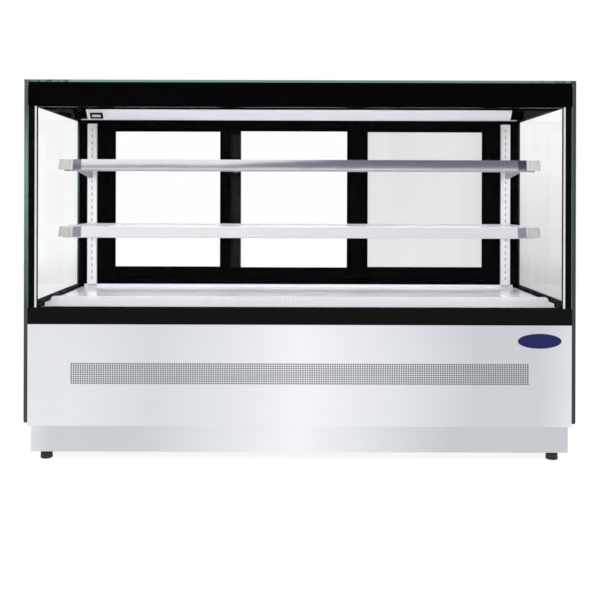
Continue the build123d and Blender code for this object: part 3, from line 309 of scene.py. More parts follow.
def pane_shader(glass, gloss, veil=0.0, grey_reflection=None, bloom=0.0):
    """A clear pane: it mirrors most at a low angle, and has faint wiping marks, painted grey reflection in soft
    stripes and a pale bloom.
    """
    place = glass.place()
    facing = glass.node("ShaderNodeLayerWeight", None, {"Blend": 0.5}, "Facing")
    mirror = gloss * (0.04 + 0.96 * facing**5)
    if veil:
        wiped = glass.fade(glass.noise(glass.stretched(place, (3.0, 3.0, 1.2)), 2.0, 3.0), 0.45, 0.8)
        mirror = mirror + veil * wiped
    clear = glass.node("ShaderNodeBsdfTransparent", None, {"Color": (0.998, 1.0, 0.999)})
    shine = glass.node("ShaderNodeBsdfGlossy", None, {"Color": (1.0, 1.0, 1.0), "Roughness": 0.02})
    pane = glass.mixed(mirror, clear, shine)
    # Painted reflection: a matt grey layer greys the pane in soft stripes.
    if grey_reflection is not None:
        grey_stripes = glass.noise(glass.stretched(place, (9.0, 9.0, 0.7)), 1.0, 2.0)
        grey_reflection_layer = glass.principled(Base_Color=srgb(120, 119, 124), Roughness=0.8, Specular_IOR_Level=0.0)
        pane = glass.mixed(grey_reflection * (0.75 + 0.5 * grey_stripes), pane, grey_reflection_layer)
    if bloom:
        pale = glass.principled(Base_Color=srgb(226, 225, 238), Roughness=0.6, Specular_IOR_Level=0.0)
        pane = glass.mixed(bloom * facing**8, pane, pale)
    return pane


def ground_edge(glass, colour):
    """The ground and polished edge of a pane."""
    fleck = glass.noise(glass.place(), 60.0, 3.0)
    return glass.principled(
        Base_Color=glass.blend(0.5 * fleck, colour, srgb(52, 66, 62)), Roughness=0.2, Specular_IOR_Level=0.2
    )


def clear_glass(name, axis, gloss, edge, veil=0.0, grey_reflection=None, bloom=0.0):
    """A clear pane with green ground edges."""
    glass = Finish(name)
    pane = pane_shader(glass, gloss, veil, grey_reflection, bloom)
    return glass.done(glass.mixed(flat_face(glass, axis), ground_edge(glass, edge), pane))


def side_glass(name, gloss, grey_reflection, low_grey_reflection, tones):
    """A thick side pane. Its front edge goes from grey to green and back, as painted light, and painted grey
    reflection lies on it by height; its rear edge is polished clear.
    """
    glass = Finish(name)
    _, _, z = glass.axes(glass.place())
    height = glass.node("ShaderNodeMapRange", None, {"Value": z, "From Min": 0.1, "From Max": 1.25})
    # Painted light: the edge's brightness along the height.
    edge = glass.ramp(height, tones)
    # Painted reflection: grey, strongest near the foot of the clear window, and none below it.
    grey_by_height = grey_reflection * glass.fade(z, 1.14, 0.58) + low_grey_reflection * glass.fade(z, 0.68, 0.55)
    grey_by_height = grey_by_height * glass.fade(z, 0.500, 0.512)
    pane = pane_shader(glass, gloss, 0.0, grey_by_height)
    normal = glass.axes(glass.node("ShaderNodeTexCoord", output="Normal"))
    see_through = (abs(normal[0]) + (normal[1] > 0.5)) > 0.5
    return glass.done(glass.mixed(see_through, ground_edge(glass, edge), pane))


def backed_glass(name, edge_left, edge_right, back):
    """Thick glass that is enamelled black below. Its green edge is lighter at the left end than the right, as
    painted light, and is darker and mottled near the ends of the case.
    """
    glass = Finish(name)
    place = glass.place()
    x, _, _ = glass.axes(place)
    fleck = glass.noise(glass.stretched(place, (30.0, 30.0, 200.0)), 1.0, 3.0)
    # Painted light: the edge is lighter towards the left end.
    edge = glass.blend(glass.fade(x, -CASE_HALF, CASE_HALF), edge_left, edge_right)
    edge = glass.blend(0.35 * fleck, edge, srgb(60, 110, 98))
    mottle = glass.fade(glass.noise(glass.stretched(place, (55.0, 4.0, 30.0)), 1.0, 4.0), 0.42, 0.62)
    mottled_ends = glass.blend(mottle, srgb(70, 98, 86), srgb(26, 34, 31))
    edge = glass.blend(glass.fade(abs(x), 0.752, 0.758), edge, mottled_ends)
    face = glass.blend(0.3 * fleck, back, scaled(back, 2))
    return glass.surface(
        Base_Color=glass.blend(flat_face(glass, 2), edge, face),
        Roughness=0.06 + 0.04 * fleck,
        Coat_Weight=0.5,
        Specular_IOR_Level=0.3,
    )


def lamp_cover(name, strength, foot):
    """An opal diffuser that glows, below a white back that begins at the height of foot."""
    lamp = Finish(name)
    place = lamp.place()
    _, _, z = lamp.axes(place)
    diffuser = z < foot
    spots = lamp.noise(lamp.stretched(place, (60.0, 8.0, 8.0)), 1.0)
    light = lamp.blend(diffuser, (0.0, 0.0, 0.0), (1.0, 0.99, 0.97))
    return lamp.surface(
        Base_Color=lamp.blend(0.15 * spots, srgb(235, 236, 236), srgb(210, 212, 214)),
        Roughness=0.45,
        Emission_Color=light,
        Emission_Strength=strength,
    )


def cast_metal(name, colour, dull, roughness, scale):
    """Bare metal with duller patches."""
    metal = Finish(name)
    place = metal.place()
    patch = metal.noise(place, scale, 4.0)
    return metal.surface(
        Base_Color=metal.blend(patch, colour, dull),
        Metallic=1.0,
        Roughness=roughness + 0.15 * (patch - 0.5),
        Normal=metal.bump(patch, 0.06, 0.0003),
    )


def enamel(name, colour):
    """Black enamel fired on glass, with faint clouding."""
    black = Finish(name)
    place = black.place()
    cloud = black.fade(black.noise(place, 40.0, 3.0), 0.45, 0.75)
    return black.surface(
        Base_Color=black.blend(0.3 * cloud, colour, scaled(colour, 3)),
        Roughness=0.2 + 0.05 * cloud,
        Specular_IOR_Level=0.02,
    )


def display_face(name, colour):
    """A bare liquid crystal window."""
    face = Finish(name)
    place = face.place()
    cloud = face.noise(place, 40.0)
    grid = face.noise(place, 2500.0)
    return face.surface(
        Base_Color=face.blend(0.4 * cloud, colour, scaled(colour, 0.75)),
        Roughness=0.15 + 0.1 * grid,
        Coat_Weight=0.4,
    )


# Mesh code


def linked(name, mesh, *materials):
    """Makes an object from a bmesh, and adds it to the scene."""
    data = bpy.data.meshes.new(name)
    mesh.to_mesh(data)
    mesh.free()
    item = bpy.data.objects.new(name, data)
    bpy.context.scene.collection.objects.link(item)
    for material in materials:
        data.materials.append(material)
    return item


def joined(name, mesh, body, slot, *materials, replaced=(), smooth=False):
    """Makes a piece from a bmesh, and puts it on its body."""
    bmesh.ops.recalc_face_normals(mesh, faces=mesh.faces[:])
    piece = linked(name, mesh, *materials)
    for polygon in piece.data.polygons:
        polygon.use_smooth = smooth
    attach(piece, body)
    if replaced:
        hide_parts(*replaced)


def dress(material, *nodes):
    """Puts a material on CAD nodes."""
    for name in nodes:
        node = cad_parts[name]
        for slot in node.material_slots:
            slot.material = material


def bar(mesh, low, high, round_off=0.0, place=None):
    """A bar between two corners with its edges eased."""
    middle = (Vector(low) + Vector(high)) / 2
    size = Vector(high) - Vector(low)
    shape = Matrix.Translation(middle) @ Matrix.Diagonal((*size, 1))
    made = bmesh.ops.create_cube(mesh, size=1.0, matrix=(place or Matrix()) @ shape)
    if round_off:
        edges = {edge for vertex in made["verts"] for edge in vertex.link_edges}
        bmesh.ops.bevel(mesh, geom=list(edges), offset=round_off, segments=3, profile=0.5, affect="EDGES")


def rounded_loop(u, v, radius, steps=6):
    """The points of a rectangle with round corners, in order."""
    points = []
    corners = ((u[1], v[1], 0), (u[0], v[1], 1), (u[0], v[0], 2), (u[1], v[0], 3))
    for cu, cv, quarter in corners:
        mu = cu - radius if cu == u[1] else cu + radius
        mv = cv - radius if cv == v[1] else cv + radius
        for step in range(steps + 1):
            turn = (quarter + step / steps) * QUARTER_TURN
            points.append((mu + radius * math.cos(turn), mv + radius * math.sin(turn)))
    return points


def framed_sheet(mesh, outer, window, radii, depth, lie):
    """A thin sheet with a round-cornered window. lie turns (u, v, depth) into a point."""
    edges = []
    for (u, v), radius in zip((outer, window), radii):
        ring = [mesh.verts.new(lie(pu, pv, depth[0])) for pu, pv in rounded_loop(u, v, radius)]
        edges += [mesh.edges.new((ring[i - 1], ring[i])) for i in range(len(ring))]
    filled = bmesh.ops.triangle_fill(mesh, use_beauty=True, edges=edges)
    faces = [item for item in filled["geom"] if isinstance(item, bmesh.types.BMFace)]
    raised = bmesh.ops.extrude_face_region(mesh, geom=faces, use_keep_orig=True)
    shift = Vector(lie(0, 0, depth[1])) - Vector(lie(0, 0, depth[0]))
    for item in raised["geom"]:
        if isinstance(item, bmesh.types.BMVert):
            item.co += shift


def on_x(side):
    """Lays a sheet across X, on one side."""
    return lambda u, v, depth: (side * depth, u, v)


def on_y(u, v, depth):
    """Lays a sheet across Y."""
    return (u, depth, v)


# Settings


def colour_setting(name, description, default):
    """A colour setting of the sidebar."""
    return bpy.props.FloatVectorProperty(
        name=name, description=description, default=default, subtype="COLOR", min=0.0, max=1.0
    )


def length_setting(name, description, default):
    """A length setting, in metres."""
    return bpy.props.FloatProperty(name=name, description=description, default=default, unit="LENGTH")


def strength_setting(name, description, default, **limits):
    """A number setting that isn't negative."""
    return bpy.props.FloatProperty(name=name, description=description, default=default, min=0.0, **limits)


def share_setting(name, description, default):
    """A setting from 0 to 1."""
    return strength_setting(name, description, default, max=1.0, subtype="FACTOR")


def count_setting(name, description, default):
    """A whole number setting from 1 up."""
    return bpy.props.IntProperty(name=name, description=description, default=default, min=1)


class StageSettings(bpy.types.PropertyGroup):
    """The floor, the room and the lamps."""

    room_light: strength_setting("Room light", "Strength of the room's light on the case", 0.93)
    floor_glow: share_setting("Floor white", "Share of the floor that is plain white to the camera", 0.88)
    key_power: strength_setting("Key lamp", "Power of the front lamp", 110.0, unit="POWER")
    fill_power: strength_setting("Fill lamp", "Power of the side and rear lamps", 45.0, unit="POWER")
    eye_height: length_setting("Eye height", "Height of the camera", 0.867)
    eye_distance: length_setting("Eye distance", "Distance of the camera from the middle of the case", 3.09)
    eye_roll: bpy.props.FloatProperty(
        name="Eye roll", description="Turn of the camera about its own axis", default=-0.0028, unit="ROTATION"
    )


class SteelSettings(bpy.types.PropertyGroup):
    """The stainless front, plinth and grille, and the bands of painted reflection on them."""

    # The bright, middle and dark bands are painted reflections on the brushed sheet.
    bright: colour_setting("Bright band", "Stainless where it is brightest", srgb(248, 249, 252))
    middle: colour_setting("Middle band", "Stainless between the bands", srgb(231, 233, 237))
    dark: colour_setting("Dark band", "Stainless where it is darkest", srgb(208, 211, 216))
    roughness: share_setting("Roughness", "Roughness of the brushed sheet", 0.32)
    columns: count_setting("Grille columns", "Number of holes in a row of the grille", 200)
    rows: count_setting("Grille rows", "Number of rows of holes", 10)
    pitch_x: length_setting("Column pitch", "Distance from hole to hole along a row", 7.48 * MM)
    pitch_z: length_setting("Row pitch", "Distance from row to row", 7.0 * MM)
    hole: length_setting("Hole", "Side of a square hole of the grille", 5.0 * MM)
    plate: colour_setting("Badge plate", "Colour of the plain badge plate", srgb(26, 31, 76))


class GlazingSettings(bpy.types.PropertyGroup):
    """The panes and their black borders."""

    border_front: length_setting("Front border", "Black border at the front of a side pane", 29 * MM)
    border_rear: length_setting("Rear border", "Black border at the rear of a side pane", 18 * MM)
    window_bottom: length_setting("Window bottom", "Height of the foot of the clear side window", 0.520)
    window_top: length_setting("Window top", "Height of the top of the clear side window", 1.170)
    window_corner: length_setting("Window corner", "Radius of the clear window's corners", 18 * MM)
    side_border: length_setting("Front pane border", "Black border at the ends of the front pane", 19.7 * MM)
    seal: length_setting("Seal", "Width of the black seal behind the bright spacer", 8 * MM)
    edge: colour_setting("Glass edge", "Colour of a ground glass edge", srgb(150, 168, 166))
    # The glass top's edge is painted lighter at the left end than the right: painted light.
    top_left: colour_setting("Top edge, left", "Edge of the glass top at its left end", srgb(86, 120, 109))
    top_right: colour_setting("Top edge, right", "Edge of the glass top at its right end", srgb(70, 99, 90))
    black: colour_setting("Enamel", "Colour of the black borders", srgb(4, 4, 5))


class FrameSettings(bpy.types.PropertyGroup):
    """The black metal and plastic."""

    satin: colour_setting("Satin black", "Header and rear frame", srgb(3, 3, 4))
    sill: colour_setting("Sill black", "The rail under the front glass", srgb(11, 11, 11))
    machine: colour_setting("Machine black", "Enamel of the compressor and fan plates", srgb(36, 36, 37))
    foot: colour_setting("Foot black", "Moulded feet", srgb(7, 7, 8))


class InsideSettings(bpy.types.PropertyGroup):
    """The deck, the shelves and their lamps."""

    deck: colour_setting("Deck", "Polished steel of the deck", srgb(246, 245, 251))
    trim: colour_setting("Shelf trim", "Polished steel of the shelf fronts", srgb(240, 236, 239))
    standard: colour_setting("Standards", "Slotted standards", srgb(220, 217, 221))
    lamp_strength: strength_setting("Lamp strength", "Glow of the lamp covers", 10.0)
    screen: colour_setting("Thermometer window", "Bare display of the thermometer", srgb(205, 214, 204))


# Stage

# Each lamp: its name, its place, what it aims at, its size and the setting that holds its power
LAMPS = (
    ("lamp_front", (-1.3, -3.4, 2.9), (0.0, 0.0, 0.5), 2.6, "key_power"),
    ("lamp_side", (3.2, -1.6, 2.2), (0.0, 0.0, 0.6), 2.2, "fill_power"),
    ("lamp_rear", (-0.6, 3.2, 2.6), (0.0, 0.0, 0.6), 2.4, "fill_power"),
)
FLAG_OUTLINE = ((-3.4, 3.349), (3.4, 3.349), (3.4, 3.75), (1.0, 3.56), (0.3, 3.452), (-0.8, 3.385), (-3.4, 3.385))
FLAG_Y = -5.5
FLOOR_HALF = 30.0
FLOOR_WHITE = 1.03
CAMERA_X = -0.023
CAMERA_LENS = 50.6
CAMERA_SENSOR = 36.0
CAMERA_SHIFT = (0.0117, -0.1708)
WHITE = (1.0, 1.0, 1.0)


class DISPLAYCASE_OT_stage(bpy.types.Operator):
    """Add the floor, the white room, the soft lamps and the camera"""

    bl_idname = "displaycase.stage"
    bl_label = "Stage"

    def execute(self, context):
        stage = context.scene.case_stage
        scene = context.scene
        scene.view_settings.view_transform = "Standard"
        scene.cycles.transparent_max_bounces = 32
        self.floor(stage)
        self.room(scene, stage)
        for name, place, aim, size, power in LAMPS:
            self.lamp(name, place, aim, size, getattr(stage, power))
        self.flag()
        self.camera(scene, stage)
        return {"FINISHED"}

    def camera(self, scene, stage):
        """The camera in front of the case."""
        view = bpy.data.cameras.new("view")
        view.lens = CAMERA_LENS
        view.sensor_width = CAMERA_SENSOR
        view.shift_x, view.shift_y = CAMERA_SHIFT
        camera = bpy.data.objects.new("view", view)
        camera.location = (CAMERA_X, -stage.eye_distance, stage.eye_height)
        camera.rotation_euler = (QUARTER_TURN, stage.eye_roll, 0.0)
        scene.collection.objects.link(camera)
        scene.camera = camera

    def floor(self, stage):
        """A pale floor that stays white to the eye and keeps the shadow."""
        mesh = bmesh.new()
        bmesh.ops.create_grid(mesh, x_segments=8, y_segments=8, size=FLOOR_HALF)
        finish = Finish("pale floor")
        seen = self.seen(finish)
        cloud = finish.noise(finish.place(), 3.0)
        matt = finish.principled(
            Base_Color=finish.blend(0.1 * cloud, (0.9, 0.9, 0.9), (0.86, 0.86, 0.86)), Roughness=0.8
        )
        white = finish.node("ShaderNodeEmission", None, {"Color": WHITE, "Strength": FLOOR_WHITE})
        linked("floor", mesh, finish.done(finish.mixed(stage.floor_glow * seen, matt, white)))

    def flag(self):
        """A grey studio flag behind the camera. Only mirrors see it."""
        mesh = bmesh.new()
        mesh.faces.new([mesh.verts.new((x, FLAG_Y, z)) for x, z in FLAG_OUTLINE])
        finish = Finish("flag")
        cloth = finish.noise(finish.stretched(finish.place(), (0.6, 1.0, 12.0)), 2.0, 3.0)
        tone = finish.blend(cloth, srgb(134, 131, 152), srgb(112, 109, 124))
        flag = linked("flag", mesh, finish.done(finish.node("ShaderNodeEmission", None, {"Color": tone})))
        flag.visible_camera = False
        flag.visible_diffuse = False
        flag.visible_shadow = False
        flag.visible_transmission = False

    def seen(self, finish):
        """1 for what the camera sees, straight, mirrored or through glass."""
        path = finish.node("ShaderNodeLightPath").socket.node.outputs
        rays = [Value(finish, path[name]) for name in ("Is Camera Ray", "Is Glossy Ray", "Is Transmission Ray")]
        total = rays[0] + rays[1] + rays[2]
        return total > 0.5

    def room(self, scene, stage):
        """A white room that lights the case softly."""
        finish = Finish("room", "worlds")
        seen = self.seen(finish)
        strength = stage.room_light + (1.0 - stage.room_light) * seen
        light = finish.node("ShaderNodeBackground", None, {"Color": WHITE, "Strength": strength})
        finish.add("ShaderNodeOutputWorld", None, {"Surface": light})
        scene.world = finish.owner

    def lamp(self, name, place, aim, size, power):
        """A large soft lamp that leaves no mirror image of itself."""
        data = bpy.data.lights.new(name, "AREA")
        data.shape = "SQUARE"
        data.size = size
        data.energy = power
        lamp = bpy.data.objects.new(name, data)
        lamp.location = place
        lamp.rotation_euler = (Vector(aim) - Vector(place)).to_track_quat("-Z", "Y").to_euler()
        lamp.visible_glossy = False
        lamp.visible_camera = False
        bpy.context.scene.collection.objects.link(lamp)


# Front metal

FIELD_DROP = 3.5 * MM  # the field of holes sits below the middle of its panel
MAT_EDGE = 4 * MM
MAT_GAP = 3 * MM
MAT_THICK = 6 * MM
BADGE_X, BADGE_Z = 0.7825, 0.4005
BADGE_HALF_X, BADGE_HALF_Z = 0.0725, 0.0255
BADGE_RIM = 1.2 * MM
BADGE_POINTS = 72


class DISPLAYCASE_OT_front_steel(bpy.types.Operator):
    """Finish the stainless front and plinth, and cut the fine square holes of the grille"""

    bl_idname = "displaycase.front_steel"
    bl_label = "Stainless front and grille"

    def execute(self, context):
        steel = context.scene.case_steel
        dark, middle, bright = tuple(steel.dark), tuple(steel.middle), tuple(steel.bright)
        half_dark = tuple((d + m) / 2 for d, m in zip(dark, middle))
        shaded = scaled(dark, 0.94)
        # Painted reflection: bright and dark bands along the front and the plinth, and painted shade at the
        # plinth's right end.
        tones = [
            (0.0, middle), (0.10, middle), (0.23, half_dark),
            (0.36, middle), (0.50, bright), (0.67, middle), (0.82, dark), (0.94, dark), (1.0, middle),
        ]
        low_tones = [
            (0.0, middle), (0.05, dark), (0.2, dark), (0.36, middle), (0.5, bright), (0.62, middle),
            (0.78, shaded), (1.0, shaded),
        ]
        front = satin_steel("satin stainless front", tones, steel.roughness)
        plinth = satin_steel("satin stainless plinth", low_tones, steel.roughness + 0.06)
        dress(front, "front_panel")
        dress(plinth, "plinth_front", "plinth_returns")
        mesh = bmesh.new()
        self.perforate(mesh, steel)
        joined("grille_sheet", mesh, "cabinet", "stainless", front, replaced=["grille_panel"])
        low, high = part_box("grille_panel")
        mat = bmesh.new()
        near = (low.x + MAT_EDGE, high.y + MAT_GAP, low.z + MAT_EDGE)
        far = (high.x - MAT_EDGE, high.y + MAT_GAP + MAT_THICK, high.z - MAT_EDGE)
        bar(mat, near, far, MM)
        foam = moulded("filter foam", srgb(120, 122, 129), 0.9, 0.6)
        joined("filter_mat", mat, "cabinet", "fan_grey", foam)
        return {"FINISHED"}

    def perforate(self, mesh, steel):
        """The sheet with its field of square holes, front, back and hole walls."""
        low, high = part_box("grille_panel")
        middle_z = (low.z + high.z) / 2 - FIELD_DROP
        field_x = steel.columns * steel.pitch_x / 2
        field_z = steel.rows * steel.pitch_z / 2
        ends = [low.x, *self.edges(steel.columns, steel.pitch_x, steel.hole, -field_x), high.x]
        levels = [low.z, *self.edges(steel.rows, steel.pitch_z, steel.hole, middle_z - field_z), high.z]
        sheets = []
        for y in (low.y, high.y):
            sheets.append([[mesh.verts.new((x, y, z)) for z in levels] for x in ends])
        for column in range(len(ends) - 1):
            for row in range(len(levels) - 1):
                corners = ((column, row), (column + 1, row), (column + 1, row + 1), (column, row + 1))
                if column % 2 == 1 and row % 2 == 1:
                    for first, second in zip(corners, corners[1:] + corners[:1]):
                        near = [sheets[0][i][j] for i, j in (first, second)]
                        far = [sheets[1][i][j] for i, j in (second, first)]
                        mesh.faces.new(near + far)
                else:
                    for sheet in sheets:
                        mesh.faces.new([sheet[i][j] for i, j in corners])

    def edges(self, count, pitch, hole, start):
        """Where the holes of a row begin and end."""
        places = []
        for index in range(count):
            middle = start + (index + 0.5) * pitch
            places += [middle - hole / 2, middle + hole / 2]
        return places


class DISPLAYCASE_OT_badge(bpy.types.Operator):
    """Add the plain oval badge plate on the front's right end"""

    bl_idname = "displaycase.badge"
    bl_label = "Badge plate"

    def execute(self, context):
        steel = context.scene.case_steel
        low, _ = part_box("front_panel")
        mesh = bmesh.new()
        # How far each ring of points stands inside the outline, and out from the panel
        steps = (
            (0.0, 0.0), (0.0, 0.5 * MM), (0.3 * MM, 0.8 * MM), (BADGE_RIM, 0.8 * MM),
            (BADGE_RIM + 0.2 * MM, 0.55 * MM),
        )
        rings = []
        for inset, out in steps:
            ring = []
            for step in range(BADGE_POINTS):
                turn = step / BADGE_POINTS * 2 * HALF_TURN
                x = BADGE_X + (BADGE_HALF_X - inset) * math.cos(turn)
                z = BADGE_Z + (BADGE_HALF_Z - inset) * math.sin(turn)
                ring.append(mesh.verts.new((x, low.y - out, z)))
            rings.append(ring)
        for inner, outer in zip(rings[1:], rings):
            for index in range(len(inner)):
                mesh.faces.new((outer[index - 1], outer[index], inner[index], inner[index - 1]))
        field = mesh.faces.new(rings[-1])
        field.material_index = 1
        mesh.faces.new(reversed(rings[0]))
        bright = cast_metal("polished badge rim", srgb(215, 217, 222), srgb(190, 192, 198), 0.2, 60.0)
        navy = self.navy(tuple(steel.plate))
        joined("badge_plate", mesh, "cabinet", "stainless", bright, navy)
        return {"FINISHED"}

    def navy(self, colour):
        """Dark blue enamel with a slight depth of tone."""
        blue = Finish("dark blue badge enamel")
        place = blue.place()
        cloud = blue.noise(place, 30.0, 3.0)
        return blue.surface(
            Base_Color=blue.blend(0.4 * cloud, colour, scaled(colour, 0.7)),
            Roughness=0.25 + 0.1 * cloud,
            Specular_IOR_Level=0.1,
        )


# Glazing

# The front edge of each side pane, by its height from 0 to 1. The green is the glass's own; its brightness along
# the height, and the darker right edge, are painted light.
LEFT_EDGE = (
    (0.0, srgb(44, 47, 50)), (0.35, srgb(50, 55, 57)), (0.5, srgb(74, 94, 87)), (0.75, srgb(100, 130, 120)),
    (0.85, srgb(88, 104, 102)), (0.92, srgb(60, 67, 74)), (1.0, srgb(70, 75, 82)),
)
RIGHT_EDGE = (
    (0.0, srgb(38, 40, 43)), (0.4, srgb(36, 41, 43)), (0.7, srgb(42, 54, 51)), (0.85, srgb(42, 48, 49)),
    (1.0, srgb(40, 43, 47)),
)
ENAMEL_NEAR, ENAMEL_FAR = 0.1 * MM, 0.4 * MM  # where the enamel lies inside a pane
SPACER_WIDE, SPACER_DEEP = 6.3 * MM, 3.6 * MM
SEAL_HIGH = 4 * MM
EASED = 0.4 * MM
BEAD_HALF = 0.856


class DISPLAYCASE_OT_glazing(bpy.types.Operator):
    """Finish the panes, and add their black borders and seals"""

    bl_idname = "displaycase.glazing"
    bl_label = "Panes and black borders"

    def execute(self, context):
        glazing = context.scene.case_glazing
        edge = tuple(glazing.edge)
        # The right pane is painted greyer than the left, as painted reflection, and its edge darker, as painted
        # shade.
        dress(side_glass("left side pane", 0.08, 0.0, 0.09, LEFT_EDGE), "side_glass_outer_left")
        dress(side_glass("right side pane", 0.12, 0.17, 0.10, RIGHT_EDGE), "side_glass_outer_right")
        dress(clear_glass("inner side panes", 0, 0.12, edge), "side_glass_inner")
        dress(clear_glass("front panes", 1, 0.015, edge), "front_glass_outer", "front_glass_inner")
        top = backed_glass("glass top", tuple(glazing.top_left), tuple(glazing.top_right), srgb(6, 7, 7))
        dress(top, "top_glass")
        black = enamel("black border", tuple(glazing.black))
        self.side_borders(glazing, black)
        self.front_border(glazing, black)
        self.seals(glazing, black)
        return {"FINISHED"}

    def side_borders(self, glazing, black):
        """The enamelled border and low band of each side pane."""
        for name, side in zip(("left", "right"), SIDES):
            low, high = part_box(f"side_glass_outer_{name}")
            face = min(abs(low.x), abs(high.x))
            outer = ((low.y + MM, high.y - MM), (low.z + MM, high.z - MM))
            window = (
                (low.y + glazing.border_front, high.y - glazing.border_rear),
                (glazing.window_bottom, glazing.window_top),
            )
            mesh = bmesh.new()
            depth = (face + ENAMEL_NEAR, face + ENAMEL_FAR)
            framed_sheet(mesh, outer, window, (13 * MM, glazing.window_corner), depth, on_x(side))
            joined(f"side_border_{name}", mesh, "cabinet", "black_trim", black)

    def front_border(self, glazing, black):
        """The enamelled border round the front pane, on its inside face."""
        low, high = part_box("front_glass_outer")
        outer = ((low.x + 0.5 * MM, high.x - 0.5 * MM), (low.z, high.z))
        window = (
            (low.x + glazing.side_border, high.x - glazing.side_border),
            (low.z + 1.5 * MM, high.z - 2 * MM),
        )
        mesh = bmesh.new()
        framed_sheet(mesh, outer, window, (0.5 * MM, 1 * MM), (high.y - ENAMEL_FAR, high.y - ENAMEL_NEAR), on_y)
        joined("front_border", mesh, "cabinet", "black_trim", black)

    def seals(self, glazing, black):
        """The spacer with bright upright bars, its black seal, the bead under the header and the sill's lip."""
        low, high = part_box("front_glass_spacer")
        front = low.y + SPACER_DEEP
        bright = cast_metal("bright spacer", srgb(244, 246, 247), srgb(212, 220, 216), 0.4, 40.0)
        uprights = bmesh.new()
        frame_bars = bmesh.new()
        for side in SIDES:
            outer, inner = side * high.x, side * (high.x - SPACER_WIDE)
            bar(uprights, (min(outer, inner), low.y, low.z), (max(outer, inner), front, high.z), EASED)
            inner = side * (high.x - glazing.seal)
            bar(frame_bars, (min(outer, inner), front, low.z), (max(outer, inner), high.y, high.z), EASED)
        inside = high.x - glazing.seal
        bar(frame_bars, (-inside, low.y, low.z), (inside, high.y, low.z + SEAL_HIGH), EASED)
        bar(frame_bars, (-inside, low.y, high.z - SEAL_HIGH), (inside, high.y, high.z), EASED)
        joined("spacer_uprights", uprights, "cabinet", "spacer_bar", bright, replaced=["front_glass_spacer"])
        joined("front_seal", frame_bars, "cabinet", "black_frame", black)
        self.beads()

    def beads(self):
        """The thin bead under the header and the lip along the top of the sill, both black trim painted lighter as
        highlights.
        """
        line = bmesh.new()
        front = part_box("front_header")[0]
        bar(line, (-BEAD_HALF, front.y, front.z), (BEAD_HALF, front.y + 1 * MM, front.z + 2.0 * MM), EASED)
        joined("header_bead", line, "cabinet", "black_trim", self.bead_painted_highlight())
        lip = bmesh.new()
        low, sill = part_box("front_sill")
        half = sill.x - MM
        bar(lip, (-half, low.y, sill.z - 1.6 * MM), (half, low.y + MM, sill.z + 0.4 * MM), EASED)
        # The sill's lip is painted dark grey instead of black: a painted highlight along the top of the sill.
        joined("sill_bead", lip, "cabinet", "black_trim", satin_black("sill bead", srgb(40, 41, 43), 0.4))

    def bead_painted_highlight(self):
        """Black trim bead painted grey as a highlight, made brighter towards its right end by a painted glint."""
        bead = Finish("header bead")
        place = bead.place()
        x, _, _ = bead.axes(place)
        # Painted highlight: the glint brightens the bead towards its right end.
        glint = bead.fade(x, 0.60, 0.74) * bead.fade(x, 0.86, 0.78)
        rub = bead.noise(place, 30.0, 3.0)
        tone = bead.blend(glint, srgb(100, 100, 101), srgb(150, 151, 158))
        return bead.surface(
            Base_Color=bead.blend(0.3 * rub, tone, srgb(18, 18, 19)), Roughness=0.4, Specular_IOR_Level=0.05
        )


# Black frames

DOOR_PANE_HIDDEN = 8 * MM  # how much of a pane's edge is in the groove of its frame
DOOR_BEAD_WIDE, DOOR_BEAD_HIGH = 1.5 * MM, 1.2 * MM


class DISPLAYCASE_OT_black_frame(bpy.types.Operator):
    """Finish the black sill, header, ceiling, casings and rear frame"""

    bl_idname = "displaycase.black_frame"
    bl_label = "Black frame"

    def execute(self, context):
        black = tuple(context.scene.case_frame.satin)
        dress(satin_black("satin black header", black, 0.42, 0.005), "front_header", "side_casings")
        dress(satin_black("satin black sill", tuple(context.scene.case_frame.sill), 0.42, 0.02), "front_sill")
        dress(satin_black("matt black ceiling", black, 0.7, 0.0), "ceiling_panel", "side_glass_spacers")
        extrusion = satin_black("satin black extrusion", scaled(black, 0.6), 0.5, 0.005)
        dress(extrusion, "rear_sill", "rear_top_rail", "rear_jambs")
        return {"FINISHED"}


class DISPLAYCASE_OT_doors(bpy.types.Operator):
    """Finish the sliding doors, and add the beads round their panes"""

    bl_idname = "displaycase.doors"
    bl_label = "Sliding doors"

    def execute(self, context):
        black = tuple(context.scene.case_frame.satin)
        frame_finish = satin_black("satin black door", scaled(black, 0.6), 0.5, 0.005)
        edge = tuple(context.scene.case_glazing.edge)
        clear = clear_glass("door panes", 1, 0.08, edge)
        # The right door's pane is greyed by painted reflection.
        greyed_pane = clear_glass("right door pane", 1, 0.08, edge, grey_reflection=0.075)
        rubber = satin_black("black rubber bead", srgb(10, 10, 11), 0.7, 0.02)
        for name in ("left", "middle", "right"):
            dress(frame_finish, f"door_frame_{name}")
            dress(greyed_pane if name == "right" else clear, f"door_glass_{name}")
            low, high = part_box(f"door_glass_{name}")
            outer = (
                (low.x + DOOR_PANE_HIDDEN, high.x - DOOR_PANE_HIDDEN),
                (low.z + DOOR_PANE_HIDDEN, high.z - DOOR_PANE_HIDDEN),
            )
            inner = tuple((start + DOOR_BEAD_WIDE, end - DOOR_BEAD_WIDE) for start, end in outer)
            mesh = bmesh.new()
            for near, far in ((low.y - DOOR_BEAD_HIGH, low.y), (high.y, high.y + DOOR_BEAD_HIGH)):
                framed_sheet(mesh, outer, inner, (0.5 * MM, 1 * MM), (near, far), on_y)
            joined(f"door_beads_{name}", mesh, f"door_{name}", "black_frame", rubber)
        return {"FINISHED"}


# Inside

# Each shelf's folded lip: how far it drops below the front, and its steel colour, painted darker on the upper lip
# as painted shade.
FOLDS = (("upper", 5.5 * MM, srgb(172, 169, 178)), ("lower", 3.5 * MM, srgb(226, 224, 230)))
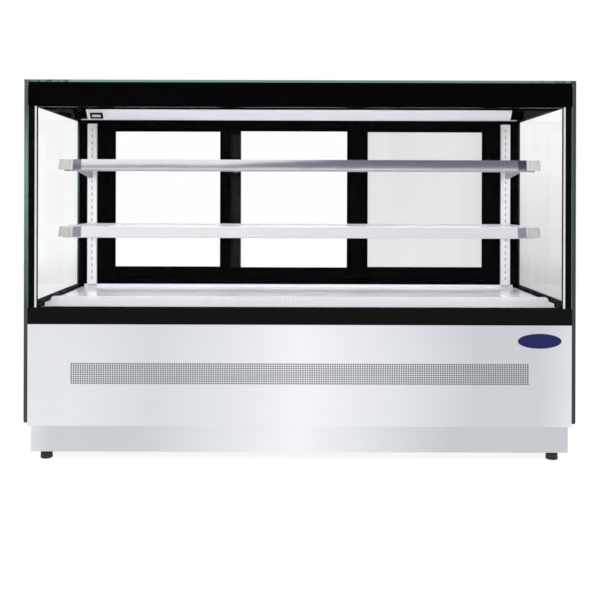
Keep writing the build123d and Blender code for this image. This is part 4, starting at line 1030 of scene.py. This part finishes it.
# Each lamp's share of the lamp strength
LAMP_SHARES = (("upper_shelf_light", 0.6), ("lower_shelf_light", 0.4), ("ceiling_light", 5.2))
DIFFUSER_HIGH = 5.2 * MM
SLOT_BACK_X = 18 * MM  # from a standard's outer edge to the middle of its slots
SLOT_BACK_HALF = 4 * MM
GAUGE_WIDE, GAUGE_HIGH, GAUGE_THICK = 50 * MM, 26 * MM, 5 * MM
GAUGE_RIM_X, GAUGE_RIM_Z = 7.5 * MM, 6.5 * MM
GAUGE_Y, GAUGE_Z = 0.2435, 1.190
GAUGE_LEAN = math.radians(44.14)


class DISPLAYCASE_OT_deck(bpy.types.Operator):
    """Finish the deck, the riser, the ledge and the leaning strip"""

    bl_idname = "displaycase.deck"
    bl_label = "Deck and strip"

    def execute(self, context):
        colour = tuple(context.scene.case_inside.deck)
        dress(polished_steel("polished deck", colour, 0.2, 0.05, 0.22), "deck_pan")
        # The riser and the ledge are the deck's steel made darker: painted shade.
        dress(polished_steel("riser", scaled(colour, 0.78), 0.3, 0.05, 0.25), "front_riser")
        dress(polished_steel("ledge", scaled(colour, 0.52), 0.3, 0.05, 0.25), "front_ledge")
        dress(polished_steel("leaning strip", colour, 0.35, 0.08, 0.1), "rear_header")
        _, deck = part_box("deck_pan")
        low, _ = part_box("pilasters")
        upturn = bmesh.new()
        reach = deck.x - 10 * MM
        bar(upturn, (-reach, deck.y - 1.4 * MM, deck.z), (reach, deck.y - 0.2 * MM, low.z - 0.4 * MM), 0.3 * MM)
        # A darker, lavender copy of the deck's steel: painted shade.
        steel = polished_steel("deck upturn", srgb(226, 223, 233), 0.35, 0.05, 0.05)
        joined("deck_upturn", upturn, "cabinet", "deck_steel", steel)
        return {"FINISHED"}


class DISPLAYCASE_OT_shelves(bpy.types.Operator):
    """Finish the shelves, their polished fronts and their lamps, and the standards"""

    bl_idname = "displaycase.shelves"
    bl_label = "Shelves, lamps and standards"

    def execute(self, context):
        inside = context.scene.case_inside
        glass = clear_glass("shelf glass", 2, 0.5, srgb(190, 198, 208), veil=0.01, bloom=0.6)
        trim = self.front_finish(tuple(inside.trim))
        for name, drop, tone in FOLDS:
            dress(glass, f"{name}_shelf_glass")
            dress(trim, f"{name}_shelf_trim")
            low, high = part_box(f"{name}_shelf_trim")
            fold = bmesh.new()
            reach = high.x - 20 * MM
            bar(fold, (-reach, low.y + 8 * MM, low.z - drop), (reach, low.y + 12 * MM, low.z + 1.9 * MM), 0.6 * MM)
            # The lip's colour is painted shade, darkest on the upper shelf.
            lip = polished_steel(f"{name} folded lip", tone, 0.25, 0.05, 0.3)
            joined(f"{name}_shelf_fold", fold, f"{name}_shelf", "polished_trim", lip)
        for name, share in LAMP_SHARES:
            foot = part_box(name)[0].z + DIFFUSER_HIGH
            dress(lamp_cover(f"lamp cover {name}", share * inside.lamp_strength, foot), name)
        standard = tuple(inside.standard)
        dress(painted_sheet("pale standards", standard, scaled(standard, 0.85), 0.4), "pilasters")
        arm = painted_sheet("shaded arms", srgb(178, 176, 190), srgb(150, 148, 162), 0.4)
        dress(arm, "shelf_brackets")
        self.slot_backs()
        return {"FINISHED"}

    def slot_backs(self):
        """The shaded strips that show through the slots of the standards."""
        low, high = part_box("pilasters")
        strips = bmesh.new()
        for side in SIDES:
            middle = side * (high.x - SLOT_BACK_X)
            near = (middle - SLOT_BACK_HALF, low.y + 2.2 * MM, low.z + 4 * MM)
            far = (middle + SLOT_BACK_HALF, low.y + 3.2 * MM, high.z - 4 * MM)
            bar(strips, near, far)
        shade = painted_sheet("slot backs", srgb(122, 112, 130), srgb(146, 136, 152), 0.6)
        joined("slot_backs", strips, "cabinet", "pilaster_steel", shade)

    def front_finish(self, colour):
        """Mirror steel with satin end caps, the joint line of each cap and a patch of painted shade beside it;
        painted reflection darkens it towards its right end.
        """
        steel = Finish("mirror shelf front")
        x, _, _ = steel.axes(steel.place())
        away = abs(x)
        swell, wipe = swell_and_wipe(steel)
        joint = steel.fade(away, 0.8030, 0.8038) * steel.fade(away, 0.8062, 0.8054)
        # Painted shade: a darker patch beside each end cap.
        painted_shade_patch = steel.fade(away, 0.760, 0.766) * steel.fade(away, 0.794, 0.792)
        cap = steel.fade(away, 0.792, 0.796)
        # Painted reflection: the steel is made darker towards its right end, besides the wiping marks.
        tone = steel.blend(0.12 * wipe + 0.15 * steel.fade(x, -0.5, 0.8), colour, WIPE_AND_REFLECTION_GREY)
        tone = steel.blend(cap, tone, srgb(164, 160, 162))
        tone = steel.blend(0.8 * painted_shade_patch + 0.6 * joint, tone, srgb(104, 104, 128))
        return steel.surface(
            Base_Color=tone,
            Metallic=1.0 - 0.9 * cap,
            Roughness=0.03 + 0.3 * cap + 0.02 * wipe,
            Normal=steel.bump(swell, 0.015, 0.004),
        )


class DISPLAYCASE_OT_thermometer(bpy.types.Operator):
    """Build the small thermometer on the leaning strip"""

    bl_idname = "displaycase.thermometer"
    bl_label = "Thermometer"

    def execute(self, context):
        low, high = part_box("thermometer")
        middle = Vector(((low.x + high.x) / 2, GAUGE_Y, GAUGE_Z))
        place = Matrix.Translation(middle) @ Matrix.Rotation(GAUGE_LEAN, 4, "X")
        half_x, half_z = GAUGE_WIDE / 2, GAUGE_HIGH / 2
        screen_x, screen_z = half_x - GAUGE_RIM_X, half_z - GAUGE_RIM_Z

        def lie(u, v, depth):
            return place @ Vector((u, depth, v))

        case = bmesh.new()
        outer = ((-half_x, half_x), (-half_z, half_z))
        window = ((-screen_x, screen_x), (-screen_z, screen_z))
        framed_sheet(case, outer, window, (3 * MM, 1 * MM), (-GAUGE_THICK, -0.5 * MM), lie)
        body = satin_black("thermometer case", srgb(7, 7, 8), 0.5, 0.01)
        joined("thermometer_case", case, "cabinet", "control_black", body, replaced=["thermometer"])
        screen = bmesh.new()
        near, far = (-screen_x, -GAUGE_THICK + 1.2 * MM, -screen_z), (screen_x, -0.6 * MM, screen_z)
        bar(screen, near, far, 0.2 * MM, place)
        face = display_face("thermometer window", tuple(context.scene.case_inside.screen))
        joined("thermometer_face", screen, "cabinet", "control_black", face)
        return {"FINISHED"}


# Machine and rear

LOUVRE_WIDE, LOUVRE_HIGH, LOUVRE_OUT = 0.308, 12 * MM, 6 * MM
LOUVRE_X = 0.420  # the middle of each group, on both sides of the case's middle
LOUVRE_FOOT, LOUVRE_PITCH, LOUVRE_COUNT = 0.160, 0.020, 9
LOUVRE_ACROSS, LOUVRE_DOWN = 24, 6  # faces along and down a louvre
LOUVRE_SHEET = 0.8 * MM
LOUVRE_END = 0.06  # share of the length over which an end closes
PANEL_X, PANEL_Z = 0.710, 0.290  # the middle of the controller
KEY_PITCH = 13 * MM


class DISPLAYCASE_OT_machine(bpy.types.Operator):
    """Finish the chassis, the compressor, the coils, the fans, the pipes and the trough"""

    bl_idname = "displaycase.machine"
    bl_label = "Machine bay"

    def execute(self, context):
        black = tuple(context.scene.case_frame.machine)
        dress(painted_sheet("chassis paint", srgb(58, 59, 62), srgb(92, 93, 96), 0.5), "base_frame")
        dress(
            painted_sheet("machine enamel", black, scaled(black, 1.8), 0.4),
            "compressor", "condenser_fan_frame", "evaporator_fan_frame",
        )
        dress(
            cast_metal("coil fins", srgb(205, 207, 210), srgb(160, 162, 166), 0.45, 80.0),
            "condenser_coil", "evaporator_coil",
        )
        dress(moulded("fan blades", srgb(84, 86, 90), 0.5, 0.12), "condenser_fan_rotor", "evaporator_fan_rotor")
        dress(cast_metal("drawn copper", srgb(214, 140, 102), srgb(150, 88, 62), 0.35, 35.0), "refrigerant_pipes")
        white = srgb(228, 230, 233)
        dress(
            painted_sheet("white trough coat", white, scaled(white, 0.85), 0.5),
            "insulated_tub", "condensate_tray",
        )
        dress(
            moulded("levelling feet", tuple(context.scene.case_frame.foot), 0.55, 0.2),
            "foot_front_left", "foot_front_right", "foot_rear_left", "foot_rear_right",
        )
        return {"FINISHED"}


class DISPLAYCASE_OT_rear_panel(bpy.types.Operator):
    """Finish the rear panel and its screws, and add the folded louvres"""

    bl_idname = "displaycase.rear_panel"
    bl_label = "Rear panel and louvres"

    def execute(self, context):
        grey = srgb(196, 198, 202)
        sheet = painted_sheet("grey rear coat", grey, scaled(grey, 0.93), 0.45)
        dress(sheet, "rear_service_panel")
        dress(cast_metal("plated screws", srgb(214, 216, 219), srgb(150, 152, 156), 0.3, 200.0), "panel_screws")
        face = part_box("rear_service_panel")[1].y
        mesh = bmesh.new()
        for side in SIDES:
            for step in range(LOUVRE_COUNT):
                self.louvre(mesh, side * LOUVRE_X, face, LOUVRE_FOOT + step * LOUVRE_PITCH)
        joined("rear_louvres", mesh, "cabinet", "rear_steel", sheet, smooth=True)
        return {"FINISHED"}

    def louvre(self, mesh, middle_x, face, foot):
        """One pressed louvre: a hood over a slot, closed at its ends and open below."""
        for inner in (0.0, LOUVRE_SHEET):
            grid = []
            for column in range(LOUVRE_ACROSS + 1):
                share = column / LOUVRE_ACROSS
                swell = math.sin(QUARTER_TURN * min(share, 1 - share, LOUVRE_END) / LOUVRE_END)
                row = []
                for step in range(LOUVRE_DOWN + 1):
                    turn = step / LOUVRE_DOWN * QUARTER_TURN
                    reach = (LOUVRE_OUT - inner) * swell * math.sin(turn)
                    drop = LOUVRE_HIGH * (1 - math.cos(turn)) - inner * math.cos(turn)
                    x = middle_x + LOUVRE_WIDE * (share - 0.5)
                    row.append(mesh.verts.new((x, face + reach, foot + LOUVRE_HIGH - drop - 2 * MM)))
                grid.append(row)
            for left, right in zip(grid, grid[1:]):
                for step in range(LOUVRE_DOWN):
                    mesh.faces.new((left[step], right[step], right[step + 1], left[step + 1]))


class DISPLAYCASE_OT_controls(bpy.types.Operator):
    """Finish the temperature controller, the switches and the lead's bushing, and add the keys"""

    bl_idname = "displaycase.controls"
    bl_label = "Controls"

    def execute(self, context):
        case = moulded("control housings", srgb(20, 20, 21), 0.4, 0.12)
        dress(case, "rear_controls", "cable_gland")
        dress(moulded("rocker", srgb(30, 30, 32), 0.3, 0.06), "power_switch", "light_switch")
        _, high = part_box("rear_controls")
        screen = bmesh.new()
        near = (PANEL_X - 3 * MM, high.y - 1.1 * MM, PANEL_Z - 8.6 * MM)
        far = (PANEL_X + 31 * MM, high.y - 0.3 * MM, PANEL_Z + 8.6 * MM)
        bar(screen, near, far, 0.2 * MM)
        window = display_face("controller window", srgb(38, 20, 20))
        joined("controller_display", screen, "cabinet", "control_black", window)
        keys = bmesh.new()
        for column in range(2):
            for row in range(2):
                x = PANEL_X - 27 * MM + column * KEY_PITCH
                z = PANEL_Z + (row - 0.5) * KEY_PITCH
                near = (x - 4 * MM, high.y - 0.4 * MM, z - 3 * MM)
                bar(keys, near, (x + 4 * MM, high.y + 0.7 * MM, z + 3 * MM), 0.5 * MM)
        joined("controller_keys", keys, "cabinet", "control_black", moulded("key caps", srgb(70, 72, 75), 0.5, 0.1))
        return {"FINISHED"}


class DISPLAYCASE_PT_panel(bpy.types.Panel):
    """The pieces of the display case, in the order in which they are made"""

    bl_label = "Display case"
    bl_idname = "DISPLAYCASE_PT_panel"
    bl_space_type = "VIEW_3D"
    bl_region_type = "UI"
    bl_category = "Display case"

    def draw(self, context):
        for operator in OPERATORS:
            self.layout.operator(operator.bl_idname)


SETTINGS = {
    "case_stage": StageSettings,
    "case_steel": SteelSettings,
    "case_glazing": GlazingSettings,
    "case_frame": FrameSettings,
    "case_inside": InsideSettings,
}
OPERATORS = (
    DISPLAYCASE_OT_stage,
    DISPLAYCASE_OT_front_steel,
    DISPLAYCASE_OT_badge,
    DISPLAYCASE_OT_glazing,
    DISPLAYCASE_OT_black_frame,
    DISPLAYCASE_OT_doors,
    DISPLAYCASE_OT_deck,
    DISPLAYCASE_OT_shelves,
    DISPLAYCASE_OT_thermometer,
    DISPLAYCASE_OT_machine,
    DISPLAYCASE_OT_rear_panel,
    DISPLAYCASE_OT_controls,
)
CLASSES = (*SETTINGS.values(), *OPERATORS, DISPLAYCASE_PT_panel)


def register():
    """Adds the classes and the settings."""
    for item in CLASSES:
        bpy.utils.register_class(item)
    for name, group in SETTINGS.items():
        setattr(bpy.types.Scene, name, bpy.props.PointerProperty(type=group))


def unregister():
    """Takes the settings and the classes away."""
    for name in SETTINGS:
        delattr(bpy.types.Scene, name)
    for item in reversed(CLASSES):
        bpy.utils.unregister_class(item)


def main():
    """Makes everything in order."""
    register()
    for operator in OPERATORS:
        group, name = operator.bl_idname.split(".")
        getattr(getattr(bpy.ops, group), name)()


if __name__ == "__main__":
    main()
